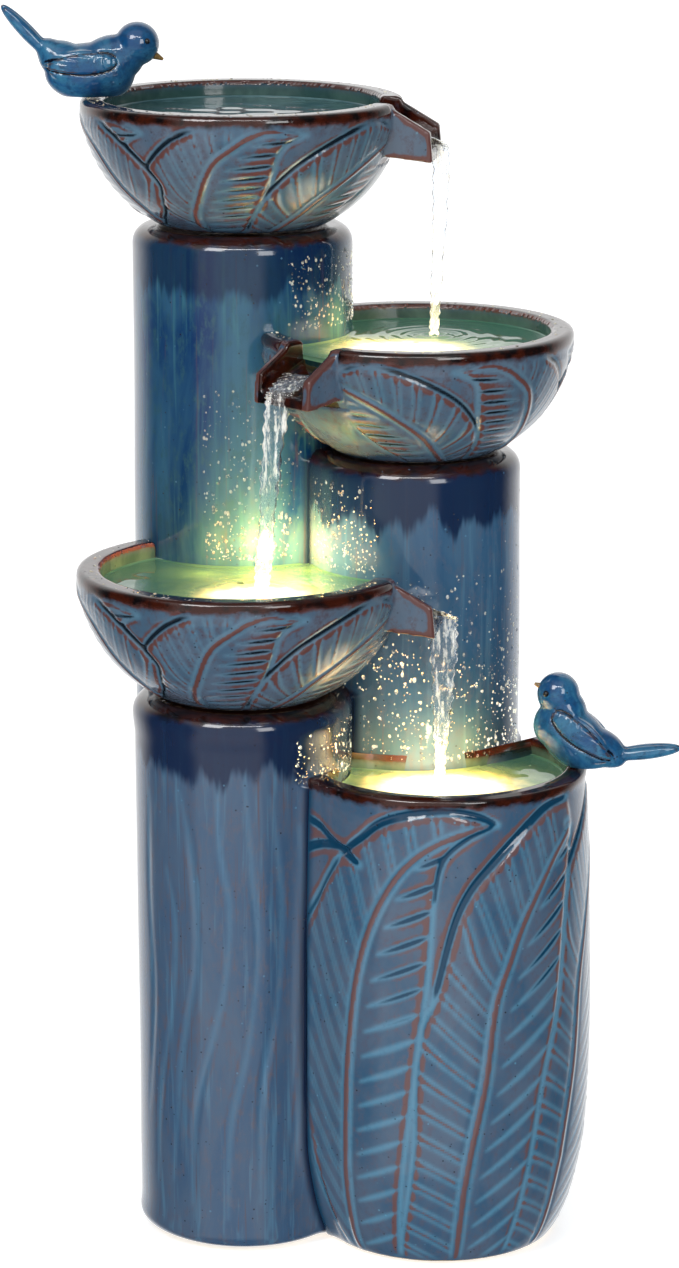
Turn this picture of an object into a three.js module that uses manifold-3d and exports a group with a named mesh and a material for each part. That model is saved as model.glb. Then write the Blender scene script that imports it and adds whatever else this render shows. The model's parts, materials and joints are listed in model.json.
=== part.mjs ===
// Tiered ceramic tabletop fountain, in millimetres, +Z up.
//
// Three hollow columns and a basin stand in one cluster. A leaf-patterned bowl with a pouring spout sits on
// each column, and two small birds perch on the rims. A submersible pump in the basin pushes water up a hose
// inside the tall column to the top bowl. It pours from bowl to bowl and back into the basin. Three
// underwater lights sit in the two lower bowls and in the basin.
//
// The layout is drawn about the cluster's middle. At the end the whole group is moved so that its box
// stands on the origin, centred.

import * as THREE from "three";
import { mergeVertices } from "three/addons/utils/BufferGeometryUtils.js";
import Module from "manifold-3d";

const wasm = await Module();
wasm.setup();

// ---- Driving dimensions ----------------------------------------------------------------------------

const GAP = 0.3; // between pieces that touch
const ROUND = 30; // facets round a casting
const SMALL_ROUND = 12; // facets round a small turned piece
const PAD_HEIGHT = 1.2; // rubber pads under the base
const BASE = PAD_HEIGHT + 0.05; // underside of the castings
const FLOOR = 8; // thickness of a casting's floor
const WALL = 7.5; // thickness of a column's wall

// Columns: axis position, radius at the foot and at the shoulder, height of the top.
const TALL = { x: -37, y: 67.5, foot: 43, radius: 42.6, top: 377.7 };
const MIDDLE = { x: 28.8, y: 39.4, foot: 41.6, radius: 40.4, top: 295.7 };
const SHORT = { x: -36.7, y: 0, foot: 40.3, radius: 41.6, top: 210.7 };
const COLUMN_EDGE = 6; // rounding at the foot
const COLUMN_SHOULDER = 7; // rounding at the top
const DECK_HOLE = 14; // hole in a column's top, under the bowl

// Openings cut through the columns' walls, as x, y and z ranges.
const HOSE_PORT = [-10, 12, 42, 60, 14, 124]; // tall to middle
const BASIN_PORT = [24, 44, -8, 12, 14, 114]; // middle to basin
const LEAD_PORT = [-8, 8, -9, 3, 14, 30]; // short to basin

// Basin: axis position, radii at the foot, belly and rim, height of the rim.
const BASIN = { x: 38.4, y: -7.1, foot: 43.5, belly: 57.4, rim: 55.4, top: 185.2 };
const BASIN_RIM = 8.6; // width of the rim

// Bowls: all have one section. The middle one is a little smaller.
const BOWL_RADIUS = 61.6;
const BOWL_HEIGHT = 47.6;
const BOWL_FOOT = 32;
const BOWL_FLOOR = 7.5;
const BOWL_RIM = 9;
const BOWL_SCALE = { top: 1, middle: 0.972, lower: 1 };

// Spouts: reach from the bowl's axis, width, wall, and heights above the bowl's foot.
const SPOUT = { reach: 74.4, width: 29, wall: 3.8, lip: 37.2, under: 25.6, root: 29.2 };
const SPOUT_DIRECTION = { top: -9, middle: 226, lower: -9 }; // degrees about +Z from +X

// Pump, in the basin. Its long axis runs along X.
const PUMP = { x: 16, y: -22.5, z: 15.2, length: 25, width: 27, height: 30 };
const PUMP_CORNER = 5;
const PUMP_FOOT = { along: 7.5, across: 8, radius: 4.4 }; // from the middle of the motor block
const PUMP_AXIS_Z = PUMP.z + 14;
const ROTOR_RADIUS = 5;
const CHAMBER_LENGTH = 8;
const COVER_LENGTH = 6;
const NOZZLE = { outer: 3.1, inner: 2.1, height: 12 };

// Hose and leads.
const HOSE = { outer: 5, inner: 3.6 };
const LEAD_RADIUS = 1.4;

// Underwater lights.
const LIGHT = { radius: 12, height: 7.4, lens: 10, cup: 8, cupHeight: 3.4 };

// ---- Solids ----------------------------------------------------------------------------------------

// A closed three.js geometry as a solid. The faces are turned outwards, whichever way the outline ran.
function solid(geometry) {
  const bare = geometry.index ? geometry.toNonIndexed() : geometry.clone();
  bare.deleteAttribute("normal");
  bare.deleteAttribute("uv");
  const merged = mergeVertices(bare, 1e-4);
  const place = merged.attributes.position;
  const corners = [new THREE.Vector3(), new THREE.Vector3(), new THREE.Vector3()];
  const triangles = [];
  let volume = 0;
  for (let i = 0; i < merged.index.count; i += 3) {
    const [a, b, c] = [0, 1, 2].map((k) => merged.index.getX(i + k));
    if (a === b || b === c || c === a) continue;
    [a, b, c].forEach((vertex, k) => corners[k].fromBufferAttribute(place, vertex));
    volume += corners[0].dot(corners[1].clone().cross(corners[2]));
    triangles.push([a, b, c]);
  }
  if (volume < 0) triangles.forEach((triangle) => triangle.reverse());
  const triVerts = new Uint32Array(triangles.flat());
  return new wasm.Manifold(new wasm.Mesh({ numProp: 3, vertProperties: place.array, triVerts }));
}

// A solid as a three.js geometry.
function geometryOf(made) {
  const mesh = made.getMesh();
  const geometry = new THREE.BufferGeometry();
  geometry.setAttribute("position", new THREE.BufferAttribute(mesh.vertProperties, mesh.numProp));
  geometry.setIndex(new THREE.BufferAttribute(mesh.triVerts, 1));
  geometry.computeVertexNormals();
  return geometry;
}

// A turned solid about +Z, from a path of radius and height.
function turned(path, segments = SMALL_ROUND, divisions = 3) {
  const geometry = new THREE.LatheGeometry(path.getPoints(divisions), segments);
  return solid(geometry.rotateX(Math.PI / 2));
}

function cylinder(radius, height, segments = SMALL_ROUND) {
  const geometry = new THREE.CylinderGeometry(radius, radius, height, segments);
  return solid(geometry.rotateX(Math.PI / 2).translate(0, 0, height / 2));
}

// A cylinder with a bore right through it.
function ring(outer, inner, height, segments = SMALL_ROUND) {
  const bore = cylinder(inner, height + 2, segments).translate([0, 0, -1]);
  return cylinder(outer, height, segments).subtract(bore);
}

function box(x0, x1, y0, y1, z0, z1) {
  const geometry = new THREE.BoxGeometry(x1 - x0, y1 - y0, z1 - z0);
  return solid(geometry.translate((x0 + x1) / 2, (y0 + y1) / 2, (z0 + z1) / 2));
}

function ellipsoid(length, width, height) {
  return solid(new THREE.SphereGeometry(1, 10, 6).scale(length, width, height));
}

// A plate with round corners in Y and Z, from x = 0 to length.
function roundedBlock(length, width, height, corner) {
  const [w, h] = [width / 2 - corner, height / 2 - corner];
  const shape = new THREE.Shape();
  shape.absarc(w, h, corner, 0, Math.PI / 2);
  shape.absarc(-w, h, corner, Math.PI / 2, Math.PI);
  shape.absarc(-w, -h, corner, Math.PI, 1.5 * Math.PI);
  shape.absarc(w, -h, corner, 1.5 * Math.PI, 2 * Math.PI);
  const geometry = new THREE.ExtrudeGeometry(shape, { depth: length, bevelEnabled: false, curveSegments: 3 });
  return solid(geometry.rotateY(Math.PI / 2).rotateX(Math.PI / 2));
}

// A tube along a smooth curve through the points. It is solid if no inner radius is given.
function tube(points, outer, inner = 0, steps = 34, sides = 8) {
  const section = new THREE.Shape(circle(outer, sides));
  if (inner) section.holes.push(new THREE.Path(circle(inner, sides).reverse()));
  const route = new THREE.CatmullRomCurve3(points.map((p) => new THREE.Vector3(...p)), false, "centripetal");
  return solid(new THREE.ExtrudeGeometry(section, { steps, extrudePath: route, bevelEnabled: false }));
}

function circle(radius, sides) {
  return Array.from({ length: sides }, (_, i) => {
    const angle = (2 * Math.PI * i) / sides;
    return new THREE.Vector2(radius * Math.cos(angle), radius * Math.sin(angle));
  });
}

// ---- Castings --------------------------------------------------------------------------------------

// What a column takes out of its neighbours, with the touching gap.
function columnSpace(column) {
  const radius = Math.max(column.foot, column.radius) + GAP;
  return cylinder(radius, column.top + 100, ROUND).translate([column.x, column.y, -50]);
}

function column({ x, y, foot, radius, top }) {
  const path = new THREE.Path();
  path.moveTo(0, BASE);
  path.lineTo(foot - COLUMN_EDGE, BASE);
  path.absarc(foot - COLUMN_EDGE, BASE + COLUMN_EDGE, COLUMN_EDGE, -Math.PI / 2, 0);
  path.lineTo(radius, top - COLUMN_SHOULDER);
  path.absarc(radius - COLUMN_SHOULDER, top - COLUMN_SHOULDER, COLUMN_SHOULDER, 0, Math.PI / 2);
  path.lineTo(DECK_HOLE, top);
  path.lineTo(DECK_HOLE, top - WALL);
  path.lineTo(radius - WALL, top - WALL);
  path.lineTo(foot - WALL, BASE + FLOOR);
  path.lineTo(0, BASE + FLOOR);
  return turned(path, ROUND, 2).translate([x, y, 0]);
}

// The tall column is whole. A port in its wall lets the hose in from the middle column.
function tallColumn() {
  return column(TALL).subtract(box(...HOSE_PORT)).subtract(cordOutletSpace());
}

// The middle column stands against the tall one. A port leads to the basin.
function middleColumn() {
  return column(MIDDLE).subtract(columnSpace(TALL)).subtract(box(...BASIN_PORT));
}

// The short column stands against both others. A small port lets a light's lead out to the basin.
function shortColumn() {
  const whole = column(SHORT).subtract(columnSpace(TALL)).subtract(columnSpace(MIDDLE));
  return whole.subtract(box(...LEAD_PORT));
}

// The basin is a deep pot whose back and left sides are the walls of the middle and short columns.
function basin() {
  const { x, y, foot, belly, rim, top } = BASIN;
  const inner = rim - BASIN_RIM;
  const path = new THREE.Path();
  path.moveTo(0, BASE);
  path.lineTo(foot, BASE);
  path.quadraticCurveTo(51.5, BASE + 8, belly - 1.6, BASE + 38);
  path.quadraticCurveTo(belly + 0.8, BASE + 76, belly - 0.3, BASE + 115);
  path.lineTo(rim, top - 3);
  path.quadraticCurveTo(rim, top, rim - 2.6, top);
  path.lineTo(inner + 1, top);
  path.lineTo(inner, top - 1.5);
  path.lineTo(inner + 1.6, BASE + 60);
  path.quadraticCurveTo(inner, BASE + FLOOR + 3, 34, BASE + FLOOR);
  path.lineTo(0, BASE + FLOOR);
  const whole = turned(path, ROUND, 4).translate([x, y, 0]);
  return whole.subtract(columnSpace(MIDDLE)).subtract(columnSpace(SHORT));
}

// The outside of a bowl, and the hollow inside it, about its own axis with the foot at z = 0.
function bowlOutside() {
  const path = new THREE.Path();
  path.moveTo(0, 0);
  path.lineTo(BOWL_FOOT, 0);
  path.quadraticCurveTo(55, 11.6, BOWL_RADIUS, BOWL_HEIGHT - 8.6);
  path.lineTo(BOWL_RADIUS, BOWL_HEIGHT - 3);
  path.quadraticCurveTo(BOWL_RADIUS, BOWL_HEIGHT, BOWL_RADIUS - 2.6, BOWL_HEIGHT);
  path.lineTo(0, BOWL_HEIGHT);
  return turned(path, ROUND, 4);
}

function bowlHollow() {
  const inner = BOWL_RADIUS - BOWL_RIM;
  const path = new THREE.Path();
  path.moveTo(0, BOWL_FLOOR);
  path.lineTo(24, BOWL_FLOOR);
  path.quadraticCurveTo(47, 17, inner, BOWL_HEIGHT - 6);
  path.lineTo(inner, BOWL_HEIGHT - 1.2);
  path.lineTo(inner + 1.2, BOWL_HEIGHT);
  path.lineTo(inner + 1.2, BOWL_HEIGHT + 20);
  path.lineTo(0, BOWL_HEIGHT + 20);
  return turned(path, ROUND, 4);
}

// A flat side outline of radius and height, as a slab of the given width along X.
function slab(outline, width) {
  const shape = new THREE.Shape(outline.map(([r, z]) => new THREE.Vector2(r, z)));
  const geometry = new THREE.ExtrudeGeometry(shape, { depth: width, bevelEnabled: false });
  return solid(geometry.translate(0, 0, -width / 2).rotateX(Math.PI / 2));
}

function spoutBlock() {
  const { reach, width, lip, under, root } = SPOUT;
  const outline = [[44, root], [reach + 0.6, under], [reach - 0.4, lip], [59, 46], [50, BOWL_HEIGHT]];
  return slab(outline, width);
}

// The channel falls outwards, with its floor just under the water's level at the bowl.
function spoutChannel() {
  const { reach, width, wall } = SPOUT;
  const outline = [[38, 42.6], [reach + 4, 28.6], [reach + 4, 80], [38, 80]];
  return slab(outline, width - 2 * wall);
}

// A bowl on its column, cut round the taller columns that it leans on.
function bowl(tier, on, floorHole, against) {
  const body = bowlOutside().add(spoutBlock()).subtract(bowlHollow()).subtract(spoutChannel());
  const placed = body
    .scale(BOWL_SCALE[tier])
    .rotate([0, 0, SPOUT_DIRECTION[tier]])
    .translate([on.x, on.y, on.top + GAP])
    .subtract(floorHole);
  return against.reduce((made, other) => made.subtract(columnSpace(other)), placed);
}

// ---- Birds -----------------------------------------------------------------------------------------

// Each lump is [along, across, up, length, width, height, pitch], with the beak forward along +X.
const UPPER_BIRD = {
  lumps: [
    [-1, 0, 10.4, 17, 10.4, 10.6, 2],
    [7, 0, 10.6, 9.4, 9.2, 9.8, -10],
    [11.4, 0, 15.6, 8.6, 7.8, 8, 20],
    [17.2, 0, 20.6, 8.4, 8.2, 7.9, 0],
    [-13, 0, 15, 9.4, 6.4, 5.8, -42],
    [-24, 0, 24.4, 14.6, 4, 2.8, -45],
    [-3, 7.2, 13, 13.5, 3.4, 6, 4],
    [-3, -7.2, 13, 13.5, 3.4, 6, 4],
  ],
  beak: { at: [24.6, 0, 16.2], pitch: -26 },
};
const LOWER_BIRD = {
  lumps: [
    [1, 0, 12, 16, 10.4, 10.4, 40],
    [7, 0, 17, 8.6, 8.8, 9.6, 50],
    [6.9, 0, 27.6, 8, 7.9, 7.8, 0],
    [-10, 0, 7, 9.4, 6.6, 5.4, 20],
    [-25.5, 0, 7.4, 14.4, 4.4, 2.8, -8],
    [-2, 7.2, 13.6, 13.6, 3.4, 6, 38],
    [-2, -7.2, 13.6, 13.6, 3.4, 6, 38],
  ],
  beak: { at: [13.4, 0, 30], pitch: 20 },
};
const BEAK = { radius: 2.4, length: 6 };

// A bird about the middle of its seat on the rim. The belly is cut flat where it sits.
function bird({ lumps, beak }) {
  const shapes = lumps.map(([along, across, up, length, width, height, pitch]) =>
    ellipsoid(length, width, height).rotate([0, -pitch, 0]).translate([along, across, up]),
  );
  const cone = solid(new THREE.ConeGeometry(BEAK.radius, BEAK.length, 10).rotateZ(-Math.PI / 2));
  shapes.push(cone.rotate([0, beak.pitch, 0]).translate(beak.at));
  const whole = shapes.reduce((made, next) => made.add(next));
  return whole.subtract(box(-60, 60, -30, 30, -30, 0));
}

// ---- Pump ------------------------------------------------------------------------------------------

const PUMP_FACE = PUMP.x + PUMP.length; // front of the motor block
const PUMP_MIDDLE_Z = PUMP.z + PUMP.height / 2;
const NOZZLE_X = PUMP_FACE + GAP + CHAMBER_LENGTH / 2;
const PUMP_TOP = PUMP.z + PUMP.height;

// A turned piece laid along X on the pump's shaft line.
function onShaft(piece, x) {
  return piece.rotate([0, 90, 0]).translate([x, PUMP.y, PUMP_AXIS_Z]);
}

function pumpHousing() {
  const block = roundedBlock(PUMP.length, PUMP.width, PUMP.height, PUMP_CORNER);
  const ribs = [4, 9, 14].map((x) => box(x, x + 2, -20, 20, PUMP.height / 2 - 1, PUMP.height));
  const ribbed = ribs.reduce((made, rib) => made.subtract(rib), block);
  const bore = cylinder(ROTOR_RADIUS + 0.7, 30);
  return ribbed.translate([PUMP.x, PUMP.y, PUMP_MIDDLE_Z]).subtract(onShaft(bore, PUMP.x + 5));
}

// The chamber plate closes the motor block, holds the vanes and carries the outlet nozzle.
function pumpChamber() {
  const plate = roundedBlock(CHAMBER_LENGTH, PUMP.width, PUMP.height, PUMP_CORNER);
  const placed = plate.translate([PUMP_FACE + GAP, PUMP.y, PUMP_MIDDLE_Z]);
  const vanesSpace = onShaft(cylinder(9.6, 5.4), PUMP_FACE + GAP - 0.2);
  const eye = onShaft(cylinder(4.4, 20), PUMP_FACE);
  const nozzle = cylinder(NOZZLE.outer, NOZZLE.height + 1).translate([NOZZLE_X, PUMP.y, PUMP_TOP - 1]);
  const bore = cylinder(NOZZLE.inner, 40).translate([NOZZLE_X, PUMP.y, PUMP_AXIS_Z + 4]);
  return placed.add(nozzle).subtract(vanesSpace).subtract(eye).subtract(bore);
}

const COVER_X = PUMP_FACE + 2 * GAP + CHAMBER_LENGTH;

// The slotted cover pulls off the front for cleaning.
function intakeCover() {
  const plate = roundedBlock(COVER_LENGTH, PUMP.width, PUMP.height, PUMP_CORNER);
  const hollow = roundedBlock(COVER_LENGTH - 2, PUMP.width - 4, PUMP.height - 4, 3).translate([-0.1, 0, 0]);
  const slots = [-9.6, -6.4, 6.4, 9.6].map((y) => box(-1, COVER_LENGTH + 1, y - 0.8, y + 0.8, -10, 10));
  const pivot = cylinder(1.45, 12).rotate([0, 90, 0]).translate([0, 0, PUMP_AXIS_Z - PUMP_MIDDLE_Z]);
  const open = [hollow, pivot, ...slots].reduce((made, cut) => made.subtract(cut), plate);
  return open.translate([COVER_X, PUMP.y, PUMP_MIDDLE_Z]);
}

// A dial on the cover, turned to set the flow, with a pin through the cover and a finger tab.
function flowDial() {
  const face = COVER_X + COVER_LENGTH + GAP;
  const disc = onShaft(cylinder(5, 2.2), face);
  const pin = onShaft(cylinder(1.35, 5), face - 4);
  const tab = box(face + 1, face + 3.4, PUMP.y - 0.9, PUMP.y + 0.9, PUMP_AXIS_Z + 0.5, PUMP_AXIS_Z + 5.6);
  return disc.add(pin).add(tab);
}

// A magnet rotor with six vanes, bored for its shaft.
function impeller() {
  const rotor = cylinder(ROTOR_RADIUS, 17.4);
  const hub = cylinder(3.4, 22);
  const vane = box(0, 8.6, -0.6, 0.6, 18.6, 22);
  const vanes = Array.from({ length: 6 }, (_, i) => vane.rotate([0, 0, 60 * i]));
  const whole = vanes.reduce((made, next) => made.add(next), rotor.add(hub));
  const bored = whole.subtract(cylinder(1.08, 40).translate([0, 0, -5]));
  return onShaft(bored, PUMP.x + 8);
}

function impellerShaft() {
  return onShaft(cylinder(1, 29), PUMP.x + 5.3);
}

function shaftBush(x, length) {
  return onShaft(ring(3, 1.2, length), x);
}

// A suction cup: a flared skirt under a short neck.
function suctionCup(radius, height) {
  const path = new THREE.Path();
  path.moveTo(0, height * 0.3);
  path.lineTo(radius, 0);
  path.lineTo(radius, 0.5);
  path.quadraticCurveTo(radius * 0.5, height * 0.6, radius * 0.4, height);
  path.lineTo(0, height);
  return turned(path, SMALL_ROUND, 2);
}

function pumpFoot(side, end) {
  const cup = suctionCup(PUMP_FOOT.radius, PUMP.z - BASE - FLOOR - 2 * GAP);
  return cup.translate([
    PUMP.x + PUMP.length / 2 + end * PUMP_FOOT.along,
    PUMP.y + side * PUMP_FOOT.across,
    BASE + FLOOR + GAP,
  ]);
}

// ---- Plumbing --------------------------------------------------------------------------------------

const BOWL_FLOOR_Z = TALL.top + GAP + BOWL_FLOOR; // inside floor of the top bowl
const BARB_BOTTOM = TALL.top - 22;
const THREAD_RADIUS = 5.2;

function supplyHose() {
  const start = PUMP_TOP + 2;
  const route = [
    [NOZZLE_X, PUMP.y, start],
    [NOZZLE_X, PUMP.y, start + 12],
    [NOZZLE_X, PUMP.y, start + 20],
    [NOZZLE_X - 1, PUMP.y + 8, start + 34],
    [41, -4, 93],
    [34, 12, 98],
    [23, 34, 101],
    [4, 50, 104],
    [-16, 60, 110],
    [-31, 66, 128],
    [TALL.x, TALL.y, 156],
    [TALL.x, TALL.y, 230],
    [TALL.x, TALL.y, 300],
    [TALL.x, TALL.y, BARB_BOTTOM + 10],
  ];
  return tube(route, HOSE.outer, HOSE.inner);
}

function hoseClip(x, y, z) {
  return ring(HOSE.outer + 1.5, HOSE.outer + 0.35, 4).translate([x, y, z]);
}

// A bulkhead fitting: a low nozzle in the bowl, a threaded body through its floor and a barb below.
function inletFitting() {
  const nozzle = cylinder(4.4, 9).translate([0, 0, BOWL_FLOOR_Z + 3]);
  const flange = cylinder(8.4, 2.4).translate([0, 0, BOWL_FLOOR_Z + 2]);
  const bodyHeight = BOWL_FLOOR + 10;
  const body = cylinder(THREAD_RADIUS, bodyHeight).translate([0, 0, BOWL_FLOOR_Z + 2.2 - bodyHeight]);
  const barb = cylinder(NOZZLE.outer, 30).translate([0, 0, BARB_BOTTOM]);
  const bore = cylinder(NOZZLE.inner, 60).translate([0, 0, BARB_BOTTOM - 5]);
  return nozzle.add(flange).add(body).add(barb).subtract(bore).translate([TALL.x, TALL.y, 0]);
}

function inletWasher() {
  return ring(8.8, THREAD_RADIUS + GAP, 1.4).translate([TALL.x, TALL.y, BOWL_FLOOR_Z + GAP]);
}

function inletNut() {
  const nut = cylinder(9.5, 4, 6).subtract(cylinder(THREAD_RADIUS + GAP, 8).translate([0, 0, -2]));
  return nut.translate([TALL.x, TALL.y, TALL.top + GAP - 4.6]);
}

function inletHole() {
  return cylinder(THREAD_RADIUS + GAP, 40).translate([TALL.x, TALL.y, TALL.top - 10]);
}

// ---- Lights ----------------------------------------------------------------------------------------

const LEAD_HOLE_RADIUS = 3.6;
const MIDDLE_LIGHT = { x: MIDDLE.x + 6, y: MIDDLE.y - 10 };
const LOWER_LIGHT = { x: SHORT.x + 2, y: SHORT.y - 12 };
const MIDDLE_HOLE = { x: MIDDLE.x - 6, y: MIDDLE.y + 8 };
const LOWER_HOLE = { x: SHORT.x - 6, y: SHORT.y + 6 };
const BASIN_LIGHT_Z = 160;
const SPLITTER = { x: 42, y: 52, z: 40, radius: 5, height: 20 };

function floorHole({ x, y }, on) {
  return cylinder(LEAD_HOLE_RADIUS, 40).translate([x, y, on.top - 20]);
}

// The pieces of one light, stacked up +Z from the cup's face at z = 0.
function lightPieces() {
  const { radius, height, lens, cup, cupHeight } = LIGHT;
  const base = cupHeight + GAP;
  const shell = new THREE.Path();
  shell.moveTo(0, base);
  shell.lineTo(radius - 1, base);
  shell.lineTo(radius, base + 1);
  shell.lineTo(radius, base + height);
  shell.lineTo(lens + GAP, base + height);
  shell.lineTo(lens + GAP, base + 3);
  shell.lineTo(0, base + 3);
  const dome = new THREE.Path();
  dome.moveTo(0, base + height - 1.6);
  dome.lineTo(lens, base + height - 1.6);
  dome.lineTo(lens, base + height);
  dome.quadraticCurveTo(lens * 0.6, base + height + 1.8, 0, base + height + 2);
  const board = cylinder(lens - 0.6, 1.4).translate([0, 0, base + 3 + GAP]);
  const chip = box(-1.4, 1.4, -1.4, 1.4, base + 4, base + 5.4);
  const chips = [0, 120, 240].map((angle) => chip.translate([5, 0, 0]).rotate([0, 0, angle]));
  return {
    cup: suctionCup(cup, cupHeight),
    housing: turned(shell, SMALL_ROUND, 2),
    board: chips.reduce((made, next) => made.add(next), board),
    lens: turned(dome, SMALL_ROUND, 3),
  };
}

function floorLight({ x, y }, on, tier) {
  const z = on.top + GAP + BOWL_FLOOR * BOWL_SCALE[tier] + GAP;
  return (piece) => piece.translate([x, y, z]);
}

// The basin's light is stuck to the middle column's front, facing the pool.
function wallLight(piece) {
  const wall = MIDDLE.y - Math.max(MIDDLE.foot, MIDDLE.radius) - GAP;
  return piece.rotate([90, 0, 0]).translate([MIDDLE.x, wall, BASIN_LIGHT_Z]);
}

// A rubber grommet that seals a lead where it goes down through a bowl's floor.
function leadGrommet({ x, y }, on, tier) {
  const floor = on.top + GAP + BOWL_FLOOR * BOWL_SCALE[tier];
  const flange = cylinder(LEAD_HOLE_RADIUS + 2, 1.6).translate([0, 0, floor + GAP]);
  const neck = cylinder(LEAD_HOLE_RADIUS - GAP, 11).translate([0, 0, floor + 1 - 11]);
  const bore = cylinder(LEAD_RADIUS + GAP, 40).translate([0, 0, floor - 20]);
  return flange.add(neck).subtract(bore).translate([x, y, 0]);
}

function middleLead() {
  const floor = MIDDLE.top + GAP + BOWL_FLOOR * BOWL_SCALE.middle;
  const { x, y } = MIDDLE_HOLE;
  const start = [MIDDLE_LIGHT.x - 9.6, MIDDLE_LIGHT.y + 10.4, floor + 5.6];
  const top = SPLITTER.z + SPLITTER.height;
  return tube(
    [
      start,
      [(start[0] + x) / 2, (start[1] + y) / 2, floor + 9],
      [x, y, floor + 7],
      [x, y, floor + 3],
      [x, y, floor - 12],
      [x, y, floor - 24],
      [x + 6, y + 2, floor - 70],
      [SPLITTER.x - 2.4, SPLITTER.y, top + 40],
      [SPLITTER.x - 2.4, SPLITTER.y, top + GAP],
    ],
    LEAD_RADIUS,
    0,
    40,
    6,
  );
}

function lowerLead() {
  const floor = SHORT.top + GAP + BOWL_FLOOR;
  const { x, y } = LOWER_HOLE;
  const start = [LOWER_LIGHT.x - 7.4, LOWER_LIGHT.y + 11.2, floor + 5.6];
  return tube(
    [
      start,
      [(start[0] + x) / 2, (start[1] + y) / 2, floor + 9],
      [x, y, floor + 7],
      [x, y, floor + 3],
      [x, y, floor - 12],
      [x, y, floor - 24],
      [x - 2, y - 4, 120],
      [x + 6, -3, 48],
      [-14, -3, 24],
      [6, -3.5, 20],
      [22, -5, 19],
      [32, 8, 18],
      [SPLITTER.x, SPLITTER.y - 12, 19],
      [SPLITTER.x, SPLITTER.y, 26],
      [SPLITTER.x, SPLITTER.y, SPLITTER.z - GAP],
    ],
    LEAD_RADIUS,
    0,
    60,
    6,
  );
}

function basinLead() {
  const wall = MIDDLE.y - Math.max(MIDDLE.foot, MIDDLE.radius);
  const top = SPLITTER.z + SPLITTER.height;
  return tube(
    [
      [MIDDLE.x, wall - 8, BASIN_LIGHT_Z - LIGHT.radius - 2],
      [MIDDLE.x - 0.4, wall - 7, 132],
      [MIDDLE.x - 1, wall - 3.4, 116],
      [MIDDLE.x - 0.6, wall + 8, 107],
      [MIDDLE.x + 3, MIDDLE.y - 14, 112],
      [MIDDLE.x + 12, MIDDLE.y + 6, 104],
      [SPLITTER.x + 2.4, SPLITTER.y, top + 20],
      [SPLITTER.x + 2.4, SPLITTER.y, top + GAP],
    ],
    LEAD_RADIUS,
    0,
    40,
    6,
  );
}

// ---- Base ------------------------------------------------------------------------------------------

const CORD_OUTLET = { z: 24, radius: 6 };

function cordOutletSpace() {
  const hole = cylinder(CORD_OUTLET.radius, 30).rotate([-90, 0, 0]);
  return hole.translate([TALL.x, TALL.y + TALL.radius - 20, CORD_OUTLET.z]);
}

// A rubber gland in the back of the tall column, where the low-voltage cord leaves.
function cordGland() {
  const neck = ring(CORD_OUTLET.radius - GAP, 2.5, 12);
  const flange = ring(CORD_OUTLET.radius + 2.4, 2.5, 2.2).translate([0, 0, 11]);
  const made = neck.add(flange).rotate([-90, 0, 0]);
  return made.translate([TALL.x, TALL.y + TALL.foot + GAP - 11, CORD_OUTLET.z]);
}

function footPad({ x, y }) {
  return cylinder(9, PAD_HEIGHT).translate([x, y, 0]);
}

// ---- Materials -------------------------------------------------------------------------------------

function material(color, roughness, metalness = 0) {
  return new THREE.MeshStandardMaterial({ color, roughness, metalness });
}

const columnGlaze = material(0x2f5f8c, 0.12);
const basinGlaze = material(0x33607f, 0.14);
const bowlGlaze = material(0x4b6f92, 0.12);
const birdGlaze = material(0x24588f, 0.1);
const pumpPlastic = material(0x1b1c1f, 0.5);
const rotorMagnet = material(0x3a3a3c, 0.45);
const whiteCeramic = material(0xe8e6df, 0.3);
const rubber = material(0x202022, 0.8);
const clearVinyl = material(0xd9e2e4, 0.2);
const lampShell = material(0x2a2c30, 0.45);
const lampLens = material(0xfff3c8, 0.08);
const circuitBoard = material(0xe9e4d2, 0.4);
const brassThread = material(0xc9a24e, 0.3, 1);
const springSteel = material(0xb8bcc0, 0.3, 1);

// ---- Assembly --------------------------------------------------------------------------------------

const fountain = new THREE.Group();
fountain.name = "tabletop_fountain";

function add(name, made, look) {
  const mesh = new THREE.Mesh(geometryOf(made), look);
  mesh.name = name;
  fountain.add(mesh);
}

add("column_tall", tallColumn(), columnGlaze);
add("column_middle", middleColumn(), columnGlaze);
add("column_short", shortColumn(), columnGlaze);
add("basin", basin(), basinGlaze);

add("bowl_top", bowl("top", TALL, inletHole(), []), bowlGlaze);
add("bowl_middle", bowl("middle", MIDDLE, floorHole(MIDDLE_HOLE, MIDDLE), [TALL]), bowlGlaze);
add("bowl_lower", bowl("lower", SHORT, floorHole(LOWER_HOLE, SHORT), [TALL, MIDDLE]), bowlGlaze);

const upperRim = TALL.top + BOWL_HEIGHT + 2 * GAP;
const upperSeat = [TALL.x - BOWL_RADIUS + BOWL_RIM / 2 + 0.5, TALL.y, upperRim];
const lowerSeat = [BASIN.x + BASIN.rim - 5.4, BASIN.y - 7, BASIN.top + GAP];
add("bird_upper", bird(UPPER_BIRD).translate(upperSeat), birdGlaze);
add("bird_lower", bird(LOWER_BIRD).rotate([0, 0, 172]).translate(lowerSeat), birdGlaze);

add("pump_housing", pumpHousing(), pumpPlastic);
add("pump_chamber", pumpChamber(), pumpPlastic);
add("pump_intake_cover", intakeCover(), pumpPlastic);
add("pump_flow_dial", flowDial(), pumpPlastic);
add("pump_impeller", impeller(), rotorMagnet);
add("pump_shaft", impellerShaft(), whiteCeramic);
add("pump_bush_rear", shaftBush(PUMP.x + 5.4, 2.2), rubber);
add("pump_bush_front", shaftBush(PUMP.x + 30.4, 1.8), rubber);
[[-1, -1], [-1, 1], [1, -1], [1, 1]].forEach(([side, end], i) =>
  add(`pump_foot_${i + 1}`, pumpFoot(side, end), rubber),
);

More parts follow.
